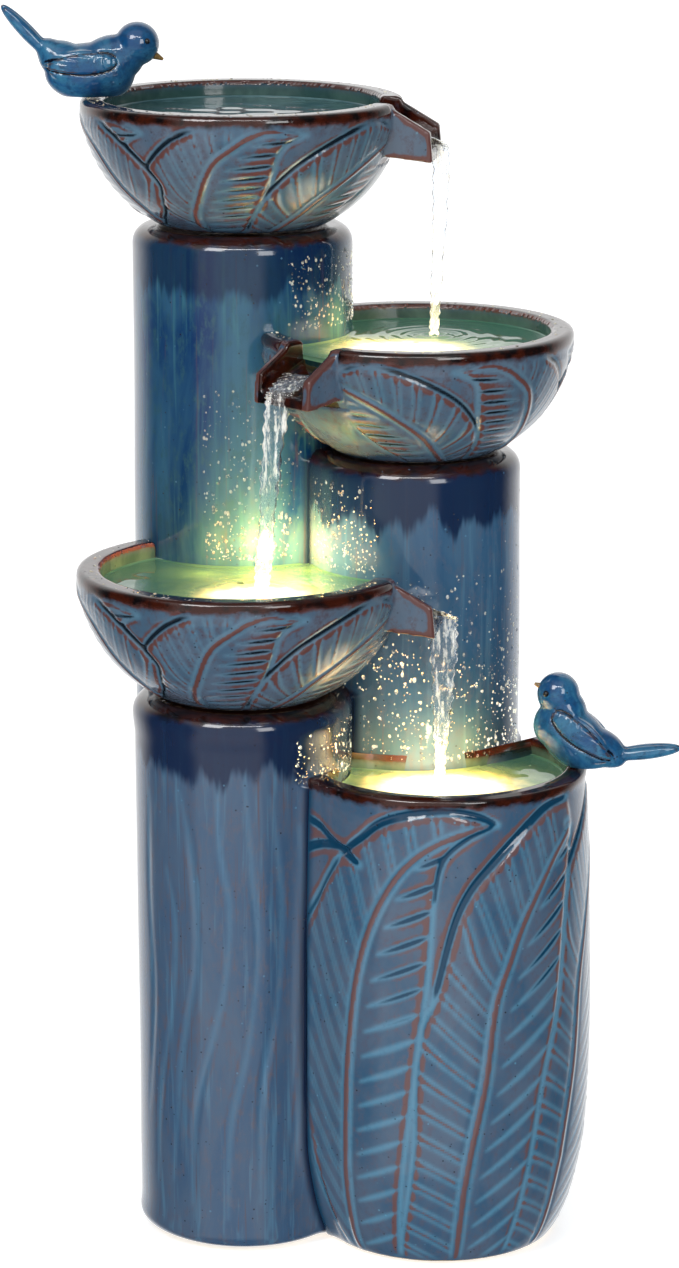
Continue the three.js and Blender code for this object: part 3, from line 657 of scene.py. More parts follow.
class Paint(Nodes):
    """A material under construction."""

    def __init__(self, name, **values):
        self.material = bpy.data.materials.new(name)
        self.material.use_nodes = True
        super().__init__(self.material.node_tree)
        self.shader = self.tree.nodes["Principled BSDF"]
        self.set(**values)

    def set(self, **values):
        for key, value in values.items():
            self.plug(self.shader.inputs[key.replace("_", " ")], value)

    def map(self, name):
        return self.node("Attribute", {"attribute_name": name}).outputs["Fac"]

    def place(self, stretch=(1, 1, 1)):
        coordinates = self.node("TexCoord").outputs["Object"]
        return self.node("Mapping", None, Vector=coordinates, Scale=stretch).outputs[0]

    def noise(self, size, detail=3, rough=0.55, stretch=(1, 1, 1), warp=0.0):
        """Noise from 0 to 1, with its size in millimetres."""
        made = self.node("TexNoise", None, Vector=self.place(stretch), Scale=1000 / size, Detail=detail)
        made.inputs["Roughness"].default_value = rough
        made.inputs["Distortion"].default_value = warp
        return made.outputs["Fac"]

    def cells(self, size, feature="F1"):
        made = self.node("TexVoronoi", {"feature": feature}, Vector=self.place(), Scale=1000 / size)
        return made.outputs["Distance"]

    def bump(self, height, strength, distance, under=None):
        made = self.node("Bump", None, Height=height, Strength=strength, Distance=distance * MM)
        if under:
            self.plug(made.inputs["Normal"], under)
        return made.outputs[0]


def glaze(name, look):
    """Glossy glaze that breaks brown over thin edges, pools dark in cuts and floats pale blue between."""
    p = Paint(name)
    broad = p.noise(look["broad"], 4, 0.6, look["stretch"], 0.6)
    fine = p.noise(3.2, 5, 0.7, (1, 1, look["stretch"][2] ** 0.5))
    grain = p.noise(0.7, 3, 0.7)
    colour = p.mix(p.between(broad, 0.34, 0.66), look["flat"][0], look["flat"][1])
    colour = p.mix(p.between(fine, 0.45, 0.75), colour, look["flat"][2])
    streak = p.between(p.noise(3.0, 3, 0.6, (1, 1, 0.045), 0.3), 0.52, 0.74)
    colour = p.mix(p.times(streak, look["streaks"]), colour, look["streak"])
    brown_streak = p.between(p.noise(2.2, 2, 0.5, (1.3, 1.3, 0.035), 0.4), 0.6, 0.74)
    colour = p.mix(p.times(brown_streak, look["streaks"] * 0.8), colour, look["break"])
    # Pale float in shallow grooves, brown on edges, dark in cuts.
    groove = p.times(p.map("groove"), p.between(fine, 0.1, 0.5))
    colour = p.mix(p.times(groove, look["float_share"], True), colour, look["float"])
    thin = p.between(p.ragged(p.map("ridge"), fine, 0.7), 0.3, 0.85)
    colour = p.mix(p.times(thin, look["break_share"]), colour, look["break"])
    colour = p.mix(p.between(p.map("dark"), 0.18, 0.6), colour, look["deep"])
    colour = p.mix(p.between(p.map("pool"), 0.35, 0.85), colour, look["deep"])
    # Below the shoulder the glaze runs: a dark band with drips, under a brown rim.
    down = p.map("down")
    drips = p.ragged(down, p.noise(9, 3, 0.6, (1, 1, 0.12)), look["drip"])
    band = p.between(drips, look["band"] + 3, look["band"] - 3)
    colour = p.mix(p.times(band, look["band_share"]), colour, look["band_colour"])
    rim = p.between(p.ragged(down, p.noise(5, 3), 5.0), look["rim"] + 1.4, look["rim"] - 1.4)
    brown = p.mix(p.between(p.noise(6, 3), 0.4, 0.65), *look["rim_colour"])
    colour = p.mix(rim, colour, brown)
    colour = p.mix(p.map("inner"), colour, p.mix(p.between(broad, 0.35, 0.65), *look["inside"]))
    # Pinholes and iron specks.
    speck = p.times(p.between(p.cells(3.4), 0.13, 0.07), p.between(p.noise(14, 2), 0.42, 0.6))
    colour = p.mix(p.times(speck, 0.8), colour, srgb(24, 26, 36))
    pale = p.times(p.between(p.cells(5.1), 0.1, 0.06), p.between(p.noise(11, 2), 0.5, 0.62))
    colour = p.mix(p.times(pale, 0.5), colour, look["float"])
    # The unglazed foot.
    foot = p.ragged(p.map("up"), p.noise(7, 3), 1.2)
    colour = p.mix(p.between(foot, 0.9, 0.5), colour, srgb(196, 178, 150))
    rough = p.plus(0.07, p.times(p.between(grain, 0.3, 0.8), look["rough"]))
    normal = p.bump(fine, 0.22, 0.12)
    normal = p.bump(p.math("SUBTRACT", 1.0, speck), 0.5, 0.15, normal)
    normal = p.bump(broad, 0.25, 0.5, normal)
    p.set(Base_Color=colour, Roughness=rough, Normal=normal, Coat_Weight=0.45, Coat_Roughness=0.03, IOR=1.52)
    return p.material


# A look's sizes are in millimetres. Band and rim are how far under the top they end.
LEFT_OUT = -50  # a band or a rim that isn't there
COLUMN_LOOK = {
    "broad": 22, "stretch": (1, 1, 0.22),
    "flat": (srgb(38, 74, 108), srgb(58, 86, 112), srgb(72, 82, 106)),
    "streaks": 0.55, "streak": srgb(80, 122, 150), "break": srgb(92, 66, 62), "break_share": 0.7,
    "float": srgb(84, 134, 166), "float_share": 0.8, "deep": srgb(10, 28, 56),
    "band": 24, "drip": 34, "band_share": 0.9, "band_colour": srgb(6, 26, 60),
    "rim": 5.5, "rim_colour": (srgb(54, 18, 7), srgb(10, 6, 8)),
    "inside": (srgb(48, 78, 76), srgb(72, 104, 98)), "rough": 0.12,
}
PLAIN_LOOK = {**COLUMN_LOOK, "streaks": 0.0, "band": LEFT_OUT, "drip": 0}
LOOKS = {
    "tall": {**COLUMN_LOOK, "flat": (srgb(1, 42, 92), srgb(48, 92, 120), srgb(44, 82, 96)), "streaks": 0.45,
             "streak": srgb(66, 122, 128), "band_share": 0.75},
    "middle": {**COLUMN_LOOK, "flat": (srgb(46, 84, 118), srgb(66, 98, 126), srgb(72, 90, 114)),
               "streaks": 0.4},
    "short": {**COLUMN_LOOK, "flat": (srgb(54, 82, 112), srgb(72, 92, 116), srgb(80, 86, 104)),
              "streaks": 0.6},
    "basin": {**PLAIN_LOOK, "stretch": (1, 1, 0.7),
              "flat": (srgb(52, 84, 112), srgb(76, 94, 116), srgb(80, 84, 102)), "float": srgb(92, 154, 184),
              "deep": srgb(12, 58, 86), "break": srgb(104, 72, 68), "break_share": 0.85, "rim": 4.2},
    "bowl": {**PLAIN_LOOK, "stretch": (1, 1, 0.8),
             "flat": (srgb(62, 88, 110), srgb(80, 94, 112), srgb(74, 68, 80)), "float": srgb(96, 142, 166),
             "float_share": 0.6, "deep": srgb(12, 26, 38), "break": srgb(92, 54, 46), "break_share": 0.9,
             "rim": 4.0},
    "bird": {**PLAIN_LOOK, "broad": 12, "stretch": (1, 1, 1),
             "flat": (srgb(16, 70, 118), srgb(52, 112, 146), srgb(26, 60, 96)), "float": srgb(92, 142, 168),
             "float_share": 0.35, "deep": srgb(5, 14, 34), "break": srgb(66, 44, 36), "break_share": 0.75,
             "rim": LEFT_OUT, "rough": 0.08},
}


def simple(name, light, dark, size, roughness, bump=0.1, **values):
    """A moulded or turned material: two near tones, a fine grain and worn high spots."""
    p = Paint(name, **values)
    light, dark = (*light, 1), (*dark, 1)
    grain = p.noise(size, 4, 0.65)
    colour = p.mix(p.between(grain, 0.35, 0.68), dark, light)
    scuff = p.between(p.noise(size * 6, 5, 0.7, (1, 1, 0.4)), 0.62, 0.72)
    colour = p.mix(p.times(scuff, 0.25), colour, light)
    rough = p.plus(roughness, p.times(grain, 0.15))
    p.set(Base_Color=colour, Roughness=rough, Normal=p.bump(grain, 0.4, bump))
    return p.material


# ---- Castings ----


def column_profile(column, spacing):
    """The section of a column's wall as one closed loop, outside first, and which points are outside."""
    foot, radius, top = column.foot, column.radius, column.top
    outer = resampled(
        [
            [(foot - COLUMN_EDGE - 3, BASE)],
            corner((foot - COLUMN_EDGE, BASE + COLUMN_EDGE), COLUMN_EDGE, -90, 0),
            corner((radius - COLUMN_SHOULDER, top - COLUMN_SHOULDER), COLUMN_SHOULDER, 0, 90),
            [(DECK_HOLE + 1, top), (DECK_HOLE, top - 1)],
        ],
        spacing,
    )
    inner = resampled(
        [
            [(DECK_HOLE, top - WALL), (radius - WALL - 4, top - WALL), (radius - WALL, top - WALL - 4)],
            [(foot - WALL, BASE + 4), (foot - WALL, BASE)],
        ],
        6,
    )
    return np.vstack([outer, inner]), np.r_[np.ones(len(outer), bool), np.zeros(len(inner), bool)]


def basin_profile(spacing):
    """The basin's section as one closed loop, and which of its points are on the outside and the inside."""
    foot, belly, rim, top = BASIN_FOOT, BASIN_BELLY, BASIN_RIM_RADIUS, BASIN_TOP
    inner_rim = rim - BASIN_RIM
    outer = resampled(
        [
            [(foot - 6, BASE), (foot, BASE)],
            bend((foot, BASE), (51.5, BASE + 8), (belly - 1.6, BASE + 38)),
            bend((belly - 1.6, BASE + 38), (belly + 0.8, BASE + 76), (belly - 0.3, BASE + 115)),
            bend((rim, top - 3), (rim, top), (rim - 2.6, top)),
        ],
        spacing,
    )
    over = resampled(
        [
            [(rim - 2.6, top - 0.01), (inner_rim + 2, top - 0.05)],
            bend((inner_rim + 2, top - 0.05), (inner_rim, top - 0.1), (inner_rim, top - 2.2)),
        ],
        0.8,
    )[1:]
    inner = resampled(
        [
            [(inner_rim, top - 3), (inner_rim + 1.6, BASE + 60)],
            bend((inner_rim + 1.6, BASE + 60), (inner_rim, BASE + FLOOR + 3), (34, BASE + FLOOR)),
            [(6, BASE + FLOOR), (6, BASE)],
        ],
        3,
    )
    inside = np.r_[np.zeros(len(outer) + len(over)), np.ones(len(inner))]
    return np.vstack([outer, over, inner]), np.arange(len(inside)) < len(outer), inside


def even_angles(radius, spacing):
    return np.linspace(-math.pi, math.pi, round(2 * math.pi * radius / spacing), endpoint=False)


def bark_relief():
    """Long wavering lines drawn down the front of the short column."""
    relief = Relief(SHORT.top, lambda z: np.full_like(z, 41), 0.8, -110, 110)
    lines = [
        [(-13, 198), (-11, 160), (-6, 136), (-10, 102), (-26, 56), (-29, 18)],
        [(-34, 181), (-27, 155), (-25, 116), (-35, 76), (-42, 26)],
        [(-44, 150), (-38, 128), (-41, 96), (-52, 60), (-55, 24)],
        [(2, 192), (6, 150), (9, 120), (4, 84), (-6, 50), (-8, 14)],
        [(16, 180), (22, 140), (20, 100), (11, 64), (10, 20)],
        [(32, 168), (36, 120), (34, 70), (28, 24)],
        [(-58, 178), (-60, 140), (-57, 100), (-64, 50)],
    ]
    for line in lines:
        relief.line(line, (0.8, 1.8, 1.3, 1.9, 0.8), (0.3, 0.75, 0.6, 0.75, 0.3), 0.0, 0.42)
    relief.settle(step(SHORT.top - 8, SHORT.top - 16, relief.along) * step(4, 14, relief.along))
    return relief


def build_column(column, look, neighbours, relief=None):
    profile, outer = column_profile(column, 1.0 if relief else 1.6)
    angles = even_angles(column.radius, 1.6)
    if relief:
        angles = np.r_[np.radians(np.arange(-110, 110, 1.4)), np.radians(np.arange(110, 250, 4))]
    made, points = revolve(
        column.node, column.centre, profile, outer, taller_than(column.top), neighbours, angles,
        glaze("glaze_" + look, LOOKS[look]), relief,
    )
    inner = np.repeat(~outer, len(angles))
    down = np.where(inner, 99, column.top - points[:, 2] + 2)
    add_maps(made, inner=inner, down=down, up=points[:, 2] - BASE)
    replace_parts(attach(made, "fountain"), column.node)


def basin_radius(z):
    profile, outer, _ = basin_profile(2)
    r, height = profile[outer].T
    return np.interp(np.where(z > BASIN_TOP, -99, z), height, r, left=0)


BASIN_WALL = (BASIN_CENTRE, basin_radius, BASIN_TOP)


def build_basin():
    profile, outer, inside_map = basin_profile(0.86)
    angles = np.r_[np.radians(np.arange(-108, 142, 0.88)), np.radians(np.arange(142, 252, 4))]
    made, points = revolve(
        "basin", BASIN_CENTRE, profile, outer, [MIDDLE, SHORT], [MIDDLE.wall, SHORT.wall], angles,
        glaze("glaze_basin", LOOKS["basin"]), basin_relief(),
    )
    z = points[:, 2]
    inner = np.repeat(inside_map, len(angles)) * step(BASIN_TOP - 2, BASIN_TOP - 4, z)
    add_maps(made, inner=inner, down=np.maximum(BASIN_TOP - z, 0) + 0.3, up=z - BASE)
    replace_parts(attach(made, "fountain"), "basin")


def remeshed(node, voxel):
    """A fine even mesh of a CAD node's solid, as points in millimetres and faces."""
    work = bmesh.new()
    work.from_mesh(frame["nodes"][node].data)
    bmesh.ops.remove_doubles(work, verts=work.verts, dist=1e-6)
    points, faces = skin_of(work, voxel * MM, 3)
    return points / MM, faces


def nearest_on(path, r, z):
    """For points of a section, the nearest point of a finely sampled path: its index and distance."""
    index = np.empty(len(r), int)
    distance = np.empty(len(r))
    batch = 20000
    for start in range(0, len(r), batch):
        part = slice(start, start + batch)
        d = (r[part, None] - path[None, :, 0]) ** 2 + (z[part, None] - path[None, :, 1]) ** 2
        index[part] = d.argmin(1)
        distance[part] = np.sqrt(d.min(1))
    return index, distance


def bowl_inside():
    """A bowl's inside, from the middle of its floor up to its rim."""
    inner = BOWL_RADIUS - BOWL_RIM
    wall = bend((24, 7.5), (47, 17), (inner, BOWL_HEIGHT - 6), 30)
    return resampled([[(0, 7.5), (24, 7.5)], wall, [(inner, BOWL_HEIGHT - 1.2)]], 0.4)


def build_bowl(bowl, relief, material):
    """A bowl's solid, remeshed and drawn onto its smooth section, with the leaves cut into it."""
    points, faces = remeshed(bowl.node, 0.8)
    x, y = (points[:, :2] - bowl.on.centre).T / bowl.scale
    z = (points[:, 2] - bowl.foot) / bowl.scale
    r = np.hypot(x, y)
    angle = np.arctan2(x, -y)
    turn = bowl.spout + math.pi / 2  # the spout's own angle, from the front
    along = r * np.cos(angle - turn)
    aside = np.abs(r * np.sin(angle - turn))
    path = bowl_inside()
    at_outside, off_outside = nearest_on(OUTLINE, r, z)
    at_inside, off_inside = nearest_on(path, r, z)
    spout = (along > 40) & (aside < SPOUT_WIDTH / 2 + 0.9) & (z > 24)
    is_outside = (off_outside < 1.0) & ~spout
    is_inside = (off_inside < 1.0) & ~spout
    is_outside[(z < 0.7) & (r < BOWL_FOOT - 1)] = False
    section = np.where(is_inside[:, None], path[at_inside], np.column_stack([r, z]))
    r, z = np.where(is_outside[:, None], OUTLINE[at_outside], section).T

    run = OUTLINE_RUN[at_outside]
    seen = np.degrees(angle - turn) + SPOUT_AT
    tangent = np.gradient(OUTLINE, axis=0)
    tangent /= np.linalg.norm(tangent, axis=1)[:, None]
    maps = {
        key: np.where(is_outside, relief.read(getattr(relief, key), seen, run), 0)
        for key in ("height", "dark", "groove", "ridge")
    }
    lift = maps.pop("height")
    r = r + lift * tangent[at_outside, 1]
    z = z - lift * tangent[at_outside, 0]
    made_at = around(bowl.on.centre, angle, r * bowl.scale, z * bowl.scale + bowl.foot)
    made_at = kept_in(bowl.node, made_at)
    made = mesh_of("shell_" + bowl.node, made_at, faces, material)

    edges = numbers(made.data.edges, "vertices", 2, np.int32)
    normals = numbers(made.data.vertices, "normal", 3)
    proud = ((made_at - smoothed(made_at, edges, 10)) * normals).sum(1)
    rim_edge = np.where(is_outside & (z < BOWL_HEIGHT - 4), 0, np.clip(proud / 0.35, 0, 1))
    maps["ridge"] = np.maximum(maps["ridge"], rim_edge * 1.3)
    cheek = aside > SPOUT_WIDTH / 2 - 2.6
    under = 2.5 + 5 * np.clip((along - 46) / 6, 0, 1) * cheek
    under = np.where((aside < SPOUT_WIDTH / 2 - 2.6) & (z > 26.5), 2.5, under)
    down = np.where(is_inside, 99, np.where(spout, under, BOWL_HEIGHT - z))
    down = np.where((z > BOWL_HEIGHT - 1) & ~spout, 0.4, down)
    deep_inside = is_inside * step(BOWL_HEIGHT - 1.2, BOWL_HEIGHT - 3.2, z)
    inner = smoothed(deep_inside[:, None], edges, 2)[:, 0]
    pool = step(1.5, 0.2, z) * is_outside * 0.6
    add_maps(made, **maps, down=down, inner=inner, pool=pool, up=np.where(z < 0.3, 0.2, 50.0))
    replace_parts(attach(made, "fountain"), bowl.node)


# ---- Camera, light and floor ----


ROOM, FRONT_PANEL, CEILING = 0.03, 0.55, 0.12  # how bright the studio is in reflections
AIM = Vector((0.0001, -0.0323, 0.2323))  # what the camera looks at, in metres
CAMERA_AWAY, CAMERA_PITCH, CAMERA_ANGLE = 1.6875, math.radians(13.8), math.radians(16.04)
WHITE = (1, 1, 1, 1)


def add_light(name, kind, at, energy, size, colour=(1, 1, 1), height=None, aim=None):
    light = bpy.data.lights.new(name, kind)
    light.energy, light.color = energy, colour
    if kind == "AREA":
        light.shape, light.size, light.size_y = "RECTANGLE", size, height or size
    else:
        light.shadow_soft_size = size
    made = bpy.data.objects.new(name, light)
    made.location = at
    if aim is not None:
        made.rotation_euler = (Vector(aim) - Vector(at)).to_track_quat("-Z", "Y").to_euler()
    bpy.context.scene.collection.objects.link(made)
    return made


def studio_world():
    """White behind the object. Reflections see a dim room, a panel in front, a ceiling and a bright back."""
    world = bpy.data.worlds.new("studio")
    bpy.context.scene.world = world
    world.use_nodes = True
    n = Nodes(world.node_tree)
    x, y, z = n.node("SeparateXYZ", None, i0=n.node("TexCoord").outputs["Generated"]).outputs
    panel = n.times(n.between(x, -0.82, -0.64), n.between(x, 0.5, 0.28))
    panel = n.times(n.times(panel, n.between(y, 0.0, -0.35)), n.between(z, -0.8, -0.35))
    total = n.plus(ROOM, n.times(panel, FRONT_PANEL))
    total = n.plus(total, n.times(n.between(z, 0.35, 0.9), CEILING))
    total = n.plus(total, n.between(y, 0.25, 0.8))
    seen = n.node("LightPath").outputs["Is Camera Ray"]
    n.plug(n.tree.nodes["Background"].inputs["Strength"], n.math("MAXIMUM", seen, total))
    n.plug(n.tree.nodes["Background"].inputs["Color"], WHITE)


def set_stage():
    camera = bpy.data.objects.new("camera", bpy.data.cameras.new("camera"))
    camera.location = AIM + CAMERA_AWAY * Vector((0, -math.cos(CAMERA_PITCH), math.sin(CAMERA_PITCH)))
    camera.rotation_euler = (math.pi / 2 - CAMERA_PITCH, 0, 0)
    camera.data.sensor_fit = "VERTICAL"
    camera.data.angle = CAMERA_ANGLE
    bpy.context.scene.collection.objects.link(camera)
    bpy.context.scene.camera = camera

    studio_world()
    bpy.context.scene.view_settings.view_transform = "Standard"
    bpy.context.scene.view_settings.look = "None"

    paint = Paint("floor", Roughness=0.6, Emission_Color=WHITE, Emission_Strength=0.6)
    grain = paint.between(paint.noise(120, 3), 0.3, 0.7)
    paint.set(Base_Color=paint.mix(grain, (0.84, 0.84, 0.84, 1), (0.88, 0.88, 0.88, 1)))
    half, back, bow = 5000, 2300, 900  # the floor's half width, where it starts to rise, and how gently
    rise = [(back + bow * math.sin(a), bow - bow * math.cos(a)) for a in np.linspace(0, 1.5, 12)]
    sweep = [(-half, 0), *rise, (back + bow, 4500)]
    corners = [(x, y, z) for y, z in sweep for x in (-half, half)]
    strips = [(2 * i, 2 * i + 1, 2 * i + 3, 2 * i + 2) for i in range(len(sweep) - 1)]
    floor = mesh_of("floor", corners, strips, paint.material)
    floor.visible_glossy = False

    add_light("key", "AREA", (-0.8, -1.2, 1.5), 10, size=0.6, aim=(0, 0, 0.25))
    add_light("rim_line", "AREA", (0, -1.0, 1.3), 3, size=0.9, height=0.05, aim=(0, 0, 0.3))
    add_light("fill", "AREA", (0.7, -1.5, 0.9), 6, size=0.5, height=0.7, aim=(0, 0, 0.2))


def light_pools():
    """The lamps' warm light, which leaves the water round each pool's brightest spot."""
    for name, x, y, z, colour, power in POOL_LIGHTS:
        at = Vector((*(LAYOUT + [x, y]), z)) * MM
        lamp = add_light(name, "POINT", at, power, 0.006, colour)
        lamp.visible_camera = lamp.visible_glossy = False


# ---- Water ----


WATER_IOR = 1.33
LAYOUT = TALL.centre - np.array([-37, 67.5])  # where the castings' layout has its origin
AMBER, YELLOW = (1.0, 0.42, 0.08), (1.0, 0.84, 0.42)
POOL_LIGHTS = [
    # Name, place in the layout, height, colour and power. Amber ones stand by a wall, yellow over a lamp.
    ("wall_middle", 7, 42, BOWL_MIDDLE.foot + 48, AMBER, 0.04),
    ("wall_lower", -28, 15, BOWL_LOWER.foot + 50, AMBER, 0.20),
    ("wall_lower_gap", -13, 21, BOWL_LOWER.foot + 50, AMBER, 0.09),
    ("wall_lower_left", -51, 15, BOWL_LOWER.foot + 49, AMBER, 0.06),
    ("wall_basin", 27, -11, BASIN_TOP + 3, AMBER, 0.025),
    ("wall_basin_right", 52, -5, BASIN_TOP + 3, AMBER, 0.045),
    ("wall_basin_left", 15, -9, BASIN_TOP + 3, AMBER, 0.02),
    ("lamp_middle", 30, 26, BOWL_MIDDLE.foot + 52, YELLOW, 0.03),
    ("lamp_lower", -16, 2, BOWL_LOWER.foot + 52, YELLOW, 0.08),
    ("lamp_basin", 36, -16, BASIN_TOP + 5, YELLOW, 0.055),
]


def water_paint(name, lit):
    """A pool's surface. Painted light: the glow map paints the lamp's light through the water as emission
    and base colour, brightest over the lamp below it.
    """
    p = Paint(name, Roughness=0.04, IOR=WATER_IOR, Coat_Weight=0.3)
    if not lit:
        tone = p.mix(p.between(p.noise(16, 3), 0.35, 0.65), srgb(66, 100, 108), srgb(96, 130, 134))
        p.set(Base_Color=tone)
        return p.material
    # Painted light: these glow colours and this emission stand in for the lamp shining up through the water.
    ragged = p.ragged(p.map("glow"), p.noise(9, 4, 0.6), 0.28)
    colour = p.mix(p.between(ragged, 0.0, 0.4), srgb(60, 104, 88), srgb(124, 158, 112))
    colour = p.mix(p.between(ragged, 0.3, 0.58), colour, srgb(238, 228, 150))
    colour = p.mix(p.between(ragged, 0.5, 0.72), colour, srgb(255, 251, 222))
    strength = p.plus(0.35, p.times(p.between(ragged, 0.25, 0.9), 1.1))
    base = p.mix(0.5, colour, srgb(40, 66, 60))
    p.set(Base_Color=base, Emission_Color=colour, Emission_Strength=strength)
    return p.material


def clear_water():
    """Falling water: clear, with white threads, and a painted glow: emission near its foot stands in for
    light from below, and a faint glow lifts the threads.
    """
    p = Paint("water_clear", Roughness=0.03, IOR=WATER_IOR)
    thread = p.between(p.noise(1.6, 3, 0.6, (1, 1, 0.16)), 0.5, 0.68)
    clear = p.math("SUBTRACT", 0.97, p.times(thread, 0.5))
    p.set(Base_Color=p.mix(thread, (0.9, 0.95, 1, 1), WHITE), Transmission_Weight=clear)
    # Painted light: emission paints the glow near the stream's foot and a faint sheen on the white threads.
    p.set(Emission_Color=srgb(255, 242, 190))
    p.set(Emission_Strength=p.plus(p.times(p.map("glow"), 0.8), p.times(thread, 0.12)))
    p.set(Normal=p.bump(p.noise(1.7, 3, 0.6, (1, 1, 0.25)), 0.8, 0.6))
    return p.material


def build_pool(name, centre, level, radius, columns, material, lamp, landing, glow_size):
    """Rippled water that fills a bowl out to its wall and to the columns it leans on."""
    angles = even_angles(radius, 1.4)
    shares = np.linspace(0.02, 1, round(radius / 1.3))
    angle = np.tile(angles, len(shares))
    reach = np.minimum(radius, wall_limit(centre, angle, np.full(len(angle), level), columns, 0.4))
    r = reach * np.repeat(shares, len(angles))
    points = around(centre, angle, r, level)
    from_fall = np.full(len(r), 60.0) if landing is None else np.hypot(*(points[:, :2] - landing).T)
    ripple = 0.55 * np.cos(from_fall * 1.15) * np.exp(-from_fall / 14)
    ripple += wavy(points * [1, 1, 0], 7, 0.07, 5)
    edge = np.clip((reach - r) / 1.5, 0, 1)
    points[:, 2] += ripple * edge + 0.5 * (1 - edge)
    under = points.copy()
    under[:, 2] = level - 1.2

    low, m = len(points), len(angles)
    last = low - m
    grid = torus_faces(len(shares), m)[:last]
    j = np.arange(m)
    beside = (j + 1) % m
    wall = np.stack([last + beside, last + j, low + last + j, low + last + beside], -1)
    hub = np.stack([j, beside, low + beside, low + j], -1)
    faces = np.vstack([grid[:, ::-1], grid + low, wall[:, ::-1], hub[:, ::-1]])
    made = mesh_of(name, np.vstack([points, under]), faces, material)
    # Painted light: the glow map, brightest over the lamp, which the pool's paint turns into emission.
    glow = np.zeros(low)
    if lamp is not None:
        glow = np.exp(-np.hypot(*((points[:, :2] - lamp) / glow_size).T) ** 2)
    add_maps(made, glow=np.r_[glow, glow])
    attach(made, "fountain")


def build_stream(name, route, widths, thick, turns, seed, material):
    """A falling sheet of water: two round edges joined by a thin skin, turning as it narrows."""
    count, sides = 110, 22
    path = spline(route, count)
    t = np.linspace(0, 1, count)
    width, depth = spread(t, widths) / 2, spread(t, thick) / 2
    facing = spread(t, np.radians(turns))
    draw = np.random.default_rng(seed)
    shake = sum(
        draw.uniform(0.2, 0.5) / k**0.5 * np.sin(t * 12 * k + draw.uniform(0, 6)) for k in range(1, 5)
    )
    width = width * (1 + 0.22 * shake * t**0.5)
    turn = np.linspace(0, 2 * np.pi, sides, endpoint=False)
    c, s = np.cos(turn), np.sin(turn)
    rows = []
    for i in range(count):
        skin = depth[i] * (0.4 + 0.6 * np.abs(c) ** 3) * (1 + 0.3 * np.sin(i * 0.9 + 2 * turn))
        ripple = 0.35 * np.sin(i * 0.75 + 5 * c) + 0.25 * np.sin(i * 1.7 - 3 * c)
        u, v = width[i] * c * (1 + 0.1 * math.sin(i * 1.3)), skin * s + ripple * t[i] ** 0.5
        across = np.array([math.cos(facing[i]), math.sin(facing[i]), 0])
        through = np.array([-math.sin(facing[i]), math.cos(facing[i]), 0])
        rows.append(path[i] + np.outer(u, across) + np.outer(v, through))
    last = (count - 1) * sides
    ends = [list(range(sides))[::-1], list(range(last, last + sides))]
    made = mesh_of(name, np.vstack(rows), torus_faces(count, sides)[:last].tolist() + ends, material)
    # Painted light: the glow map, strongest at the stream's foot, which the stream's paint turns into
    # emission.
    add_maps(made, glow=np.repeat(step(0.6, 1.0, t) ** 2, sides))
    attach(made, "fountain")


def build_water():
    """A pool in each bowl and in the basin, and a stream from each bowl's spout."""
    lit, calm = water_paint("water_lit", True), water_paint("water_calm", False)
    clear = clear_water()
    inner = BOWL_RADIUS - BOWL_RIM - 0.1
    basin_inner = BASIN_RIM_RADIUS - BASIN_RIM - 0.1
    middle_level, lower_level = BOWL_MIDDLE.foot + 40.2, BOWL_LOWER.foot + 41
    basin_level = BASIN_TOP - 6.4

    def at(x, y):
        return LAYOUT + [x, y]

    pools = [
        # Name, axis, level, radius, columns it meets, paint, where it glows, where water lands, glow's size.
        ("pool_top", TALL.centre, BOWL_TOP.foot + 41.2, inner, [], calm, None, None, 1),
        ("pool_middle", MIDDLE.centre, middle_level, inner * BOWL_MIDDLE.scale, [TALL], lit,
         at(24, 22), at(36, 55), (30, 26)),
        ("pool_lower", SHORT.centre, lower_level, inner, [TALL, MIDDLE], lit,
         at(-30, -22), at(-29, -13), (26, 22)),
        ("pool_basin", BASIN_CENTRE, basin_level, basin_inner, [MIDDLE, SHORT], lit,
         at(38, -22), at(37, -13), (34, 24)),
    ]
    for pool in pools:
        build_pool(*pool)

    falls = [
        # Bowl, where the stream lands and how high, its widths, and the way it faces in degrees.
        (BOWL_TOP, at(36, 55), BOWL_MIDDLE.foot + 40, (14, 8, 6, 5, 4, 3.4), (-60, -20, 0, 30)),
        (BOWL_MIDDLE, at(-29, -14), BOWL_LOWER.foot + 40.5, (17, 10, 8, 7, 6, 5), (-35, 0, 20, 0)),
        (BOWL_LOWER, at(37.5, -13), BASIN_TOP - 6.8, (18, 13, 10, 7, 5, 4.4), (-60, 0, 10, 40)),
    ]
    for k, (bowl, end, low, widths, turns) in enumerate(falls):
        out = np.array([math.cos(bowl.spout), math.sin(bowl.spout)])
        start = bowl.on.centre + SPOUT_REACH * bowl.scale * out
        high = bowl.foot + SPOUT_LIP * bowl.scale
        inward = start - out * 12 * bowl.scale
        route = [(*inward, high + 4.6), (*start, high), (*(start + out * 2.2), high - 5)]
        for share in (0.3, 0.6, 0.85, 1):
            spot = (start + out * 3) * (1 - share) + end * share
            route.append((*spot, (high - 5) * (1 - share) + low * share))
        name = bowl.node.replace("bowl", "stream")
        build_stream(name, route, widths, (2.6, 2.6, 2.4, 2.4, 2.6), turns, 20 + k, clear)


DROP_FIELDS = [
    # Column, its angles from the front in degrees, where the field starts, how high it reaches, how many.
    (TALL, 25, 88, BOWL_MIDDLE.foot + 46, 50, 800),
    (TALL, -20, 62, BOWL_LOWER.foot + 44, 66, 1000),
    (MIDDLE, -88, -22, BOWL_LOWER.foot + 44, 66, 640),
    (MIDDLE, -50, 78, BASIN_TOP - 2, 72, 1000),
    (SHORT, 30, 88, BASIN_TOP - 2, 30, 200),
    (MIDDLE, 45, 84, BASIN_TOP + 20, 110, 170),
]
RIM_DROPS = 150  # on each bowl's rim and upper wall


